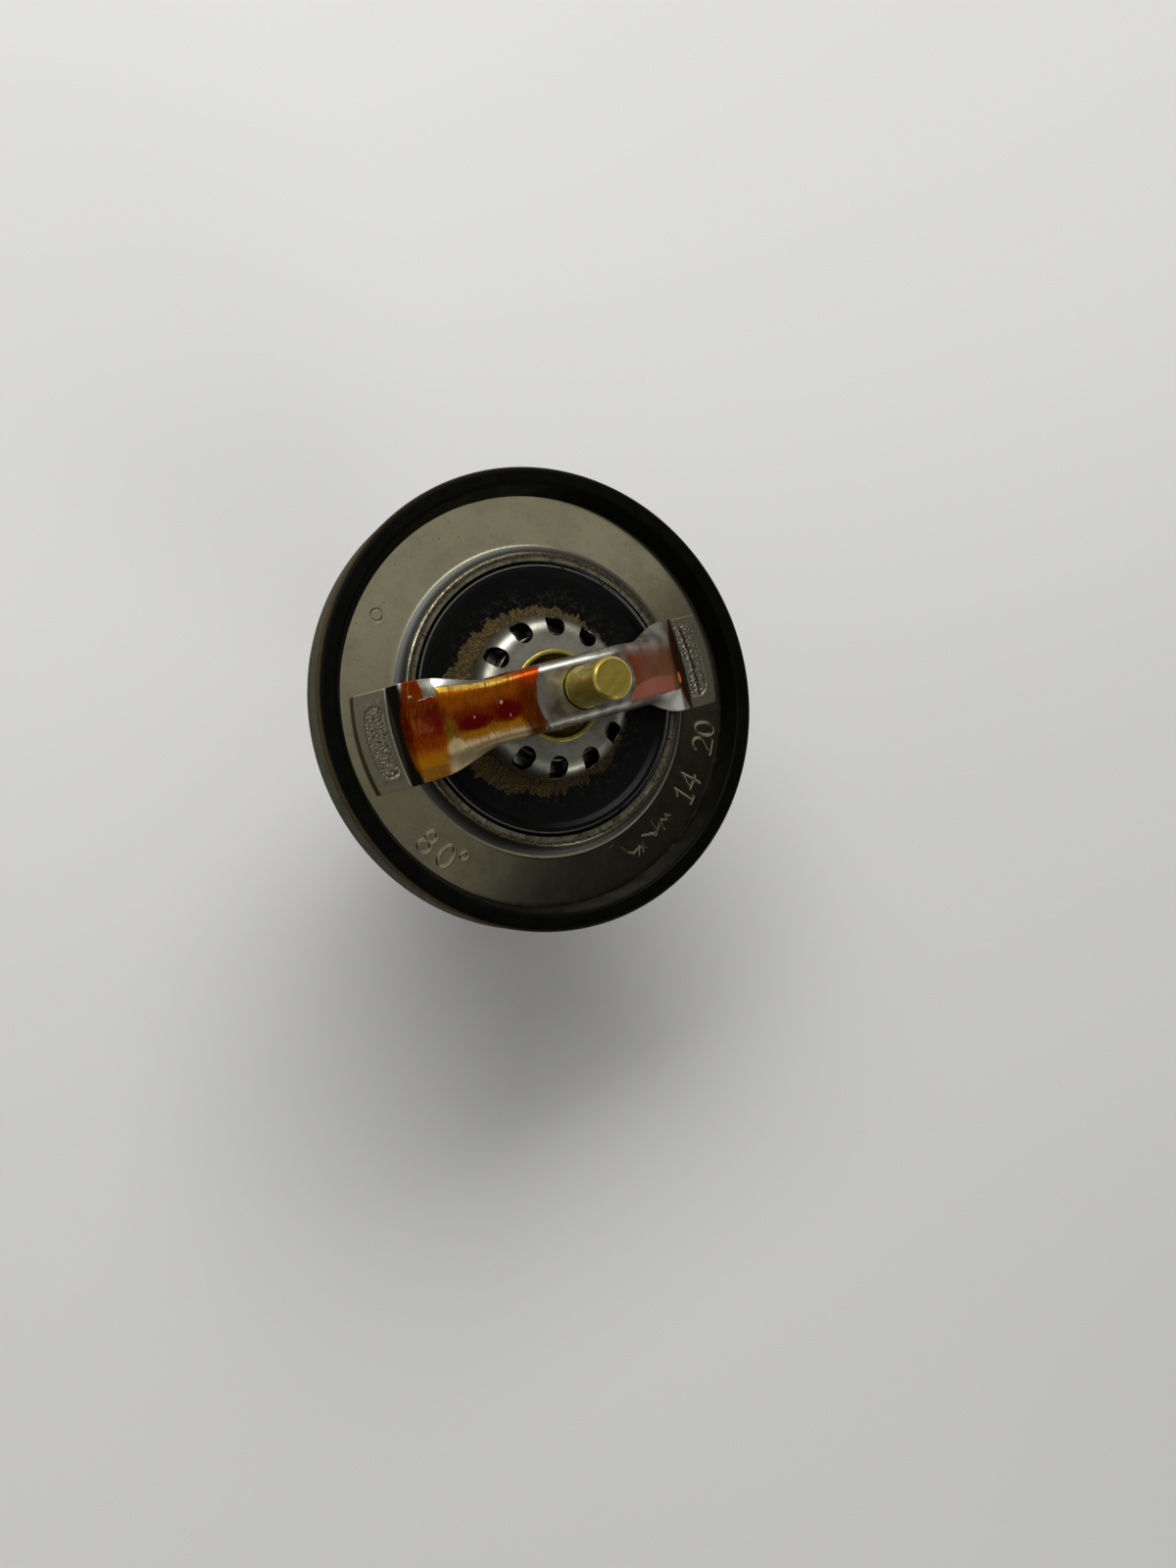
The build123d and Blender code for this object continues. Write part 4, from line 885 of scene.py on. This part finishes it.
        # a value of the left or the right foot's mark
        return np.where(s < 0, *weld[key])
    q = np.abs(top[..., 0]) + ofSide("bow") * top[..., 1] ** 2 - ofSide("x")
    beyondEnd = np.abs(top[..., 1] - ofSide("y")) - ofSide("half") + ofSide("radius")
    apart = np.hypot(q, np.maximum(beyondEnd, 0)) - ofSide("radius")
    flat = top[..., :2]
    rough = 0.024 * grain(flat, 0.8) + 0.035 * grain(flat, 0.42, 16)
    inside = smooth((0.1 - apart) / 0.2)
    jagged = q + 0.3 + 0.16 * grain(flat[..., 1:], 0.7) + 0.05 * flat[..., 1]
    crest = ofSide("ridge") * (bell(jagged / 0.28) - 0.9 * bell((jagged - 0.5) / 0.3))
    rim = 0.014 * bell((apart - 0.14) / 0.11) - 0.05 * bell((apart + 0.12) / 0.12)
    mark = inside * (rough + crest - ofSide("depth")) + rim
    dents = 0.012 * grain(flat, 5.0) * smooth((np.abs(s) - 8) / 6)
    top = top + normal * (mark * (footShare > 0) + dents * (1 - footShare))[..., None]
    faces = gridFaces(*s.shape)[:, ::-1][keep]
    points, faces = shell(top.reshape(-1, 3), under.reshape(-1, 3), faces, bridge.edge)
    used, back = np.unique(faces, return_inverse=True)
    points, faces = points[used], back.reshape(-1, 4)
    makePiece("bridgeStrap", points, faces, bridgeFinish(), "housing", ["bridge"], 60)


# Piston sleeve

def makeSleeve(brass):
    # a stepped profile of (r, z) from the axis back to the axis, turned round Z
    low, high = boxOf("piston_sleeve")
    _, pistonHigh = boxOf("piston")
    sleeve = Sizes(
        top=high[2], foot=low[2], radius=2.85, step=2.95, stepTop=14.45, shoulder=high[0],
        shoulderTop=12.88, shoulderHeight=1.5, skirt=2.8, bore=1.92, boreTop=pistonHigh[2],
        chamfer=0.35, columns=144,
    )
    under = sleeve.shoulderTop - sleeve.shoulderHeight
    radius, top, chamfer = sleeve.radius, sleeve.top, sleeve.chamfer
    corners = [
        (0, top, 0), (radius - chamfer, top, 0.06), (radius, top - chamfer, 0.08),
        (radius, sleeve.stepTop, 0.05), (sleeve.step, sleeve.stepTop - 0.1, 0.02),
        (sleeve.step, sleeve.shoulderTop, 0.02), (sleeve.shoulder - 0.2, sleeve.shoulderTop, 0.03),
        (sleeve.shoulder, sleeve.shoulderTop - 0.2, 0.03), (sleeve.shoulder, under, 0.1),
        (sleeve.skirt, under, 0.1), (sleeve.skirt, sleeve.foot, 0.15),
        (sleeve.bore, sleeve.foot, 0.08), (sleeve.bore, sleeve.boreTop, 0.1),
        (0, sleeve.boreTop, 0),
    ]
    line = divided(roundedLine(corners, closed=False, steps=4), 0.22, closed=False)
    angles = evenAngles(sleeve.columns)
    points = turned(line, angles)
    r, z = np.split(line, 2, 1)
    # the end face is a little dished and dented
    face = (np.abs(z - top) < 1e-6) & (r < radius - chamfer - 0.1)
    spot = points[..., :2]
    points[..., 2] += face * (0.004 * grain(spot, 1.4) + 0.002 * grain(spot, 0.5) - 0.02)
    faces = gridFaces(len(line), sleeve.columns, False, True)
    makePiece("pistonSleeve", points, faces, brass, "housing", ["piston_sleeve"], 40)


# Perforated cap

def makeCap():
    # a sheet over an angle and s, the way out along its section. Each hole has a patch of its own,
    # in which a point is the hole's edge times (1 - share) plus the patch's border times share.
    low, high = boxOf("perforated_cap")
    cap = Sizes(
        radius=high[0], top=high[2], bottom=low[2], bore=6.05, sheet=0.8, shoulder=2.7, holes=12,
        holeCircle=10.35, holeRadius=1.25, holeHalf=0.3, firstHole=15.0, edge=0.16, cells=12,
        rings=7, innerRing=8.35, outerRing=12.95,
    )
    bendStart = cap.radius - cap.shoulder
    bendLength = cap.shoulder * math.pi / 2

    def surface(angle, s):
        # s runs out along the top, round the shoulder and down the wall
        turn = np.clip((s - bendStart) / cap.shoulder, 0, math.pi / 2)
        r = np.minimum(s, bendStart) + cap.shoulder * np.sin(turn)
        z = cap.top - cap.shoulder * (1 - np.cos(turn)) - np.maximum(s - bendStart - bendLength, 0)
        top = polar(r, angle, z + 0 * angle)
        normal = polar(np.sin(turn), angle, np.cos(turn) + 0 * angle)
        return top, top - cap.sheet * normal

    # hole: in the direction of each point on the sector's edge, the slot's own edge
    cells = cap.cells
    side = np.linspace(-1, 1, cells + 1)[:-1]
    ones = np.ones(cells)
    a = np.concatenate([side, ones, -side, -ones])
    b = np.roll(a, cells)
    sectorHalf = math.pi / cap.holes
    ringMiddle = (cap.innerRing + cap.outerRing) / 2
    ringHalf = (cap.outerRing - cap.innerRing) / 2
    way = np.arctan2(a, b)
    radius, shift = cap.holeRadius + cap.edge, cap.holeHalf
    c, d = np.abs(np.cos(way)), np.abs(np.sin(way))
    end = shift * c + np.sqrt(np.maximum(radius ** 2 - (shift * d) ** 2, 0))
    flat = radius / np.maximum(d, 1e-9)
    x, y = (polar(np.where(flat * c < shift, flat, end), way) + (cap.holeCircle, 0)).T
    holeR = np.minimum(np.hypot(x, y), cap.radius - 0.06)
    beyond = np.clip((holeR - bendStart) / cap.shoulder, 0, 1)
    holeS = np.minimum(holeR, bendStart) + cap.shoulder * np.arcsin(beyond)
    share = np.linspace(0, 1, cap.rings + 1)[:, None]
    sectorAngle = np.arctan2(y, x) * (1 - share) + a * sectorHalf * share
    sectorS = holeS * (1 - share) + (ringMiddle + b * ringHalf) * share
    patch, start = gridFaces(cap.rings + 1, 4 * cells, False, True), math.radians(cap.firstHole)
    parts = [(*surface(sectorAngle + start + turn, sectorS), patch) for turn in evenAngles(cap.holes)]
    # plain rings inside and outside the holes
    columns = cells * cap.holes
    angles = start - sectorHalf + evenAngles(columns)[None]
    wallEnd = bendStart + bendLength + cap.top - cap.shoulder - cap.bottom - cap.edge
    for begin, end, rows in ((cap.bore + cap.edge, cap.innerRing, 8), (cap.outerRing, wallEnd, 9)):
        s = np.linspace(begin, end, rows)[:, None] + 0 * angles
        parts.append((*surface(angles, s), gridFaces(rows, columns, False, True)[:, ::-1]))
    top, under, faces = welded(parts)
    points, faces = shell(top, under, faces[:, ::-1], cap.edge, 4)
    makePiece("perforatedCap", points, faces, capFinish(cap), "valve", ["perforated_cap"], 50)


# Deposit round the cap

def makeDeposit():
    # a ring from the cap out to its reach, which is the base radius, more to the left and less to
    # the right, with ripples of three pitches; it lies on the disc, thicker where it is grainy
    deposit = Sizes(
        inner=12.02, hubTop=0.8, hub=13.4, rise=0.55, web=4.75, low=0.01, thick=0.16, base=13.7,
        leftExtra=2.3, rightLess=0.9, leftAt=math.radians(187), columns=720, rows=22,
    )
    angles = evenAngles(deposit.columns)
    ring = polar(deposit.base, angles)
    toLeft = np.cos(angles - deposit.leftAt)
    reach = deposit.base + deposit.leftExtra * np.maximum(toLeft, 0) ** 2
    reach = reach - deposit.rightLess * np.maximum(-toLeft, 0) ** 2
    reach = reach + 0.28 * grain(ring, 3.0) + 0.26 * grain(ring, 0.9) + 0.2 * grain(ring, 0.4)
    reach = np.maximum(reach, deposit.inner + 0.25)
    share = np.linspace(0, 1, deposit.rows)[:, None]
    r = deposit.inner + share * (reach - deposit.inner)
    floor = deposit.hubTop + np.maximum(r - deposit.hub, 0) * deposit.rise / deposit.web
    spot = polar(r, angles)
    # thickness: grains on a bank that is highest at the cap and runs out at its ragged edge
    bank = (1 - share ** 2) * 0.75 + 0.25
    grains = 0.5 + 0.35 * grain(spot, 1.1) + 0.3 * grain(spot, 0.45)
    thick = 0.02 + deposit.thick * bank * np.clip(grains, 0, 1.4) * np.sqrt(1.02 - share)
    under = polar(r, angles, floor + deposit.low).reshape(-1, 3)
    top = polar(r, angles, floor + deposit.low + thick).reshape(-1, 3)
    faces = gridFaces(deposit.rows, deposit.columns, False, True)[:, ::-1]
    points, faces = shell(top, under, faces, 0.008, 1)
    makePiece("depositRing", points, faces, depositFinish(), "valve", (), 70)


# Element collar: turned brass with a rolled rim and a recess

def makeCollar(brass):
    # a profile of (r, z) turned round the Z axis, its rim lowered by ripples that run round it
    low, high = boxOf("element_collar")
    collar = Sizes(
        top=high[2], end=low[2], guide=1.93, floor=1.5, recess=5.1, neck=6.0, ledge=3.9, mouth=5.85,
        rim=6.65, capTop=5.0, shoulder=high[0], shoulderTop=-0.2, groove=7.4, grooveTop=-2.0,
        grooveEnd=-3.4, seat=4.25, seatTop=-4.0, columns=160,
    )
    corners = [
        (collar.guide, collar.seatTop, 0.0), (collar.guide, collar.floor, 0.25),
        (collar.recess, collar.floor, 0.35), (collar.recess, collar.ledge, 0.1),
        (collar.mouth, collar.ledge + 0.25, 0.1), (collar.mouth, collar.top, 0.28),
        (collar.rim, collar.top, 0.14),
        (collar.rim, collar.capTop, 0.04), (collar.neck, collar.capTop, 0.0),
        (collar.neck, collar.shoulderTop, 0.0), (collar.shoulder, collar.shoulderTop, 0.12),
        (collar.shoulder, collar.grooveTop, 0.12), (collar.groove, collar.grooveTop, 0.1),
        (collar.groove, collar.grooveEnd, 0.1), (collar.shoulder, collar.grooveEnd, 0.1),
        (collar.shoulder, collar.end, 0.0), (collar.seat, collar.end, 0.0),
        (collar.seat, collar.seatTop, 0.0),
    ]
    line = divided(roundedLine(corners, steps=5), 0.4)
    points = turned(line, evenAngles(collar.columns))
    # the rolled rim was spun over by hand tools, so it is slightly wavy
    lip = smooth((line[:, 1:] - collar.capTop) / 0.2)
    ring = points[0, :, :2] / collar.guide
    points[..., 2] -= lip * (0.03 + 0.025 * grain(ring, 0.8))
    faces = gridFaces(len(line), collar.columns, True, True)
    makePiece("elementCollar", points, faces, brass, "valve", ["element_collar"], 45)


# Springs

def makeSpring(name, node, finish, body, spring):
    # The wire's centre climbs round Z. A closed turn at each end rises by one wire thickness, and
    # the turns between share the rest. Round it goes a circle of the wire's radius, across the way
    # the centre climbs. The ends are ground: no point lies beyond low or high.
    low, high = boxOf(node)
    bottom, top = low[2], high[2]
    wire, turns = spring.wire, spring.turns
    closing = 2 * wire * spring.closingStep
    begin, end = bottom + wire * (1 - spring.ground), top - wire * (1 - spring.ground)
    rounds = turns + 2
    t = np.linspace(0, rounds, rounds * spring.steps + 1)
    z = np.interp(t, [0, 1, 1 + turns, rounds], [begin, begin + closing, end - closing, end])
    radius = np.interp(t, [1, 1 + turns], [spring.lowRadius, spring.highRadius])
    angle = t * turnFull
    centre = polar(radius, angle, z)
    along = unit(np.gradient(centre, axis=0))
    out = polar(1, angle, 0 * angle)
    out = unit(out - along * np.sum(out * along, -1, keepdims=True))
    side = np.cross(along, out)
    around = evenAngles(spring.section)[None, :, None]
    points = centre[:, None] + wire * (np.cos(around) * out[:, None] + np.sin(around) * side[:, None])
    ends = [centre[k] + 0 * points[:1] for k in (0, -1)]
    points = np.concatenate([ends[0], points, ends[1]])
    points[..., 2] = np.clip(points[..., 2], bottom, top)
    faces = gridFaces(len(points), spring.section, False, True)
    piece = makePiece(name, points, faces, finish, body, [node], 50)
    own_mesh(piece)


def makeSprings(finish):
    shared = {"ground": 0.35, "closingStep": 1.04}
    makeSpring("mainSpring", "main_spring", finish, "housing", Sizes(
        shared, wire=1.1, turns=4, lowRadius=11.1, highRadius=11.1, travel=9.0, heldBelow=True,
        steps=96, section=20))
    makeSpring("bypassSpring", "bypass_spring", finish, "valve", Sizes(
        shared, wire=0.6, turns=3, lowRadius=8.7, highRadius=5.2, travel=6.0, heldBelow=False,
        steps=84, section=16))
    makeSpring("reliefSpring", "relief_spring", finish, "valve", Sizes(
        shared, wire=0.35, turns=1, lowRadius=9.1, highRadius=9.1, travel=0.8, heldBelow=False,
        steps=110, section=14))


# Stage: floor, light and camera

def makeStage():
    # a wide square floor at the level of the lowest piece
    low, _ = boxOf("bypass_disc")
    pale = {"Base Color": (0.84, 0.835, 0.82, 1), "Roughness": 0.5, "Specular IOR Level": 0.25}
    reach = 4000.0
    points = np.array([(x * reach, y * reach, low[2]) for x, y in ((-1, -1), (1, -1), (1, 1), (-1, 1))])
    mesh = bpy.data.meshes.new("floor")
    mesh.from_pydata((points * mm).tolist(), [], [(0, 1, 2, 3)])
    mesh.materials.append(Finish("paleFloor", pale).material)
    shown("floor", mesh)


def makeLights():
    # flat panels: place, aim, width and length in millimetres, radiance, and spin in degrees; a
    # panel's power is its radiance times pi times its area
    panels = {
        "ceiling": ((-10, 207, 400), (-10, 207, 0), (600, 600), 0.15, 43),
        "ceilingMiddle": ((0, 300, 401), (0, 300, 0), (900, 600), 0.09, 0),
        "ceilingFar": ((0, 350, 402), (0, 350, 0), (900, 600), 0.09, 0),
        "key": ((-110, 1150, 1000), (0, 0, 0), (1900, 660), 6.0, 0),
        "table": ((60, -132, 245), (60, -38, 279.2), (600, 335), 0.6, 0),
        "rightWall": ((520, 20, 120), (0, 0, 20), (700, 300), 0.42, 0),
        "leftWall": ((-760, 40, 420), (0, 0, 40), (900, 900), 0.3, 0),
        "front": ((330, -760, 380), (0, 0, 0), (300, 300), 3.4, 0),
    }
    for name, (place, aim, (width, length), glow, spin) in panels.items():
        lamp = bpy.data.lights.new(name, "AREA")
        lamp.shape = "RECTANGLE"
        lamp.size, lamp.size_y = width * mm, length * mm
        lamp.energy = glow * math.pi * lamp.size * lamp.size_y
        ahead = Vector(aim) - Vector(place)
        turn = ahead.to_track_quat("-Z", "Y").to_matrix() @ Matrix.Rotation(math.radians(spin), 3, "Z")
        shown(name, lamp).matrix_world = Matrix.Translation(Vector(place) * mm) @ turn.to_4x4()
    world = bpy.data.worlds.new("studio")
    world.use_nodes = True
    background = world.node_tree.nodes["Background"]
    background.inputs["Color"].default_value = (1.0, 0.99, 0.96, 1)
    background.inputs["Strength"].default_value = 0.008
    bpy.context.scene.world = world
    bpy.context.scene.view_settings.view_transform = "Standard"


def makeCamera():
    # stands at place and looks along ahead; right = up x back, and up is squared to both
    view = Sizes(
        place=(-70.65, -3.59, 158.32), ahead=(0.4223, -0.0579, -0.9046),
        up=(0.2605, 0.9636, 0.0600), lens=27.0, sensor=36.0,
    )
    back = -unit(np.array(view.ahead))
    right = unit(np.cross(view.up, back))
    up = np.cross(back, right)
    lens = bpy.data.cameras.new("camera")
    lens.lens = view.lens
    lens.sensor_width = view.sensor
    lens.sensor_fit = "AUTO"
    lens.clip_start, lens.clip_end = 0.01, 20.0
    camera = shown("camera", lens)
    matrix = np.eye(4)
    matrix[:3] = np.stack([right, up, back, np.array(view.place) * mm], 1)
    camera.matrix_world = Matrix(matrix.tolist())
    bpy.context.scene.camera = camera


makeCamera()
makeLights()
makeStage()
print("stage ready")
brass = brassFinish("turnedBrass")
wire = springFinish()
makeSeal()
makeFlange()
makeBridge()
makeSleeve(brass)
makeCap()
makeDeposit()
makeCollar(brassFinish("collarBrass", 6.15))
makeSprings(wire)
dress(valveFinish(crestRadius=19.6), "valve_disc")
dress(stainlessFinish(), "lower_frame", "bypass_disc")
dress(brass, "wax_cup")
dress(groundFinish(), "piston", "relief_plate", "bypass_stem", "thrust_washer")
dress(wire, "retaining_clip")
dress(mouldedFinish("backupPlastic", 0.4, 0.5, (226, 222, 210), (206, 200, 184)), "backup_washer")
dress(mouldedFinish("bootRubber", 0.5, 0.6, (34, 34, 34), (20, 20, 21)), "rubber_boot")
dress(mouldedFinish("waxAndCopper", 0.45, 2.5, (168, 96, 52), (126, 66, 34)), "wax_charge")
print("finishes ready")
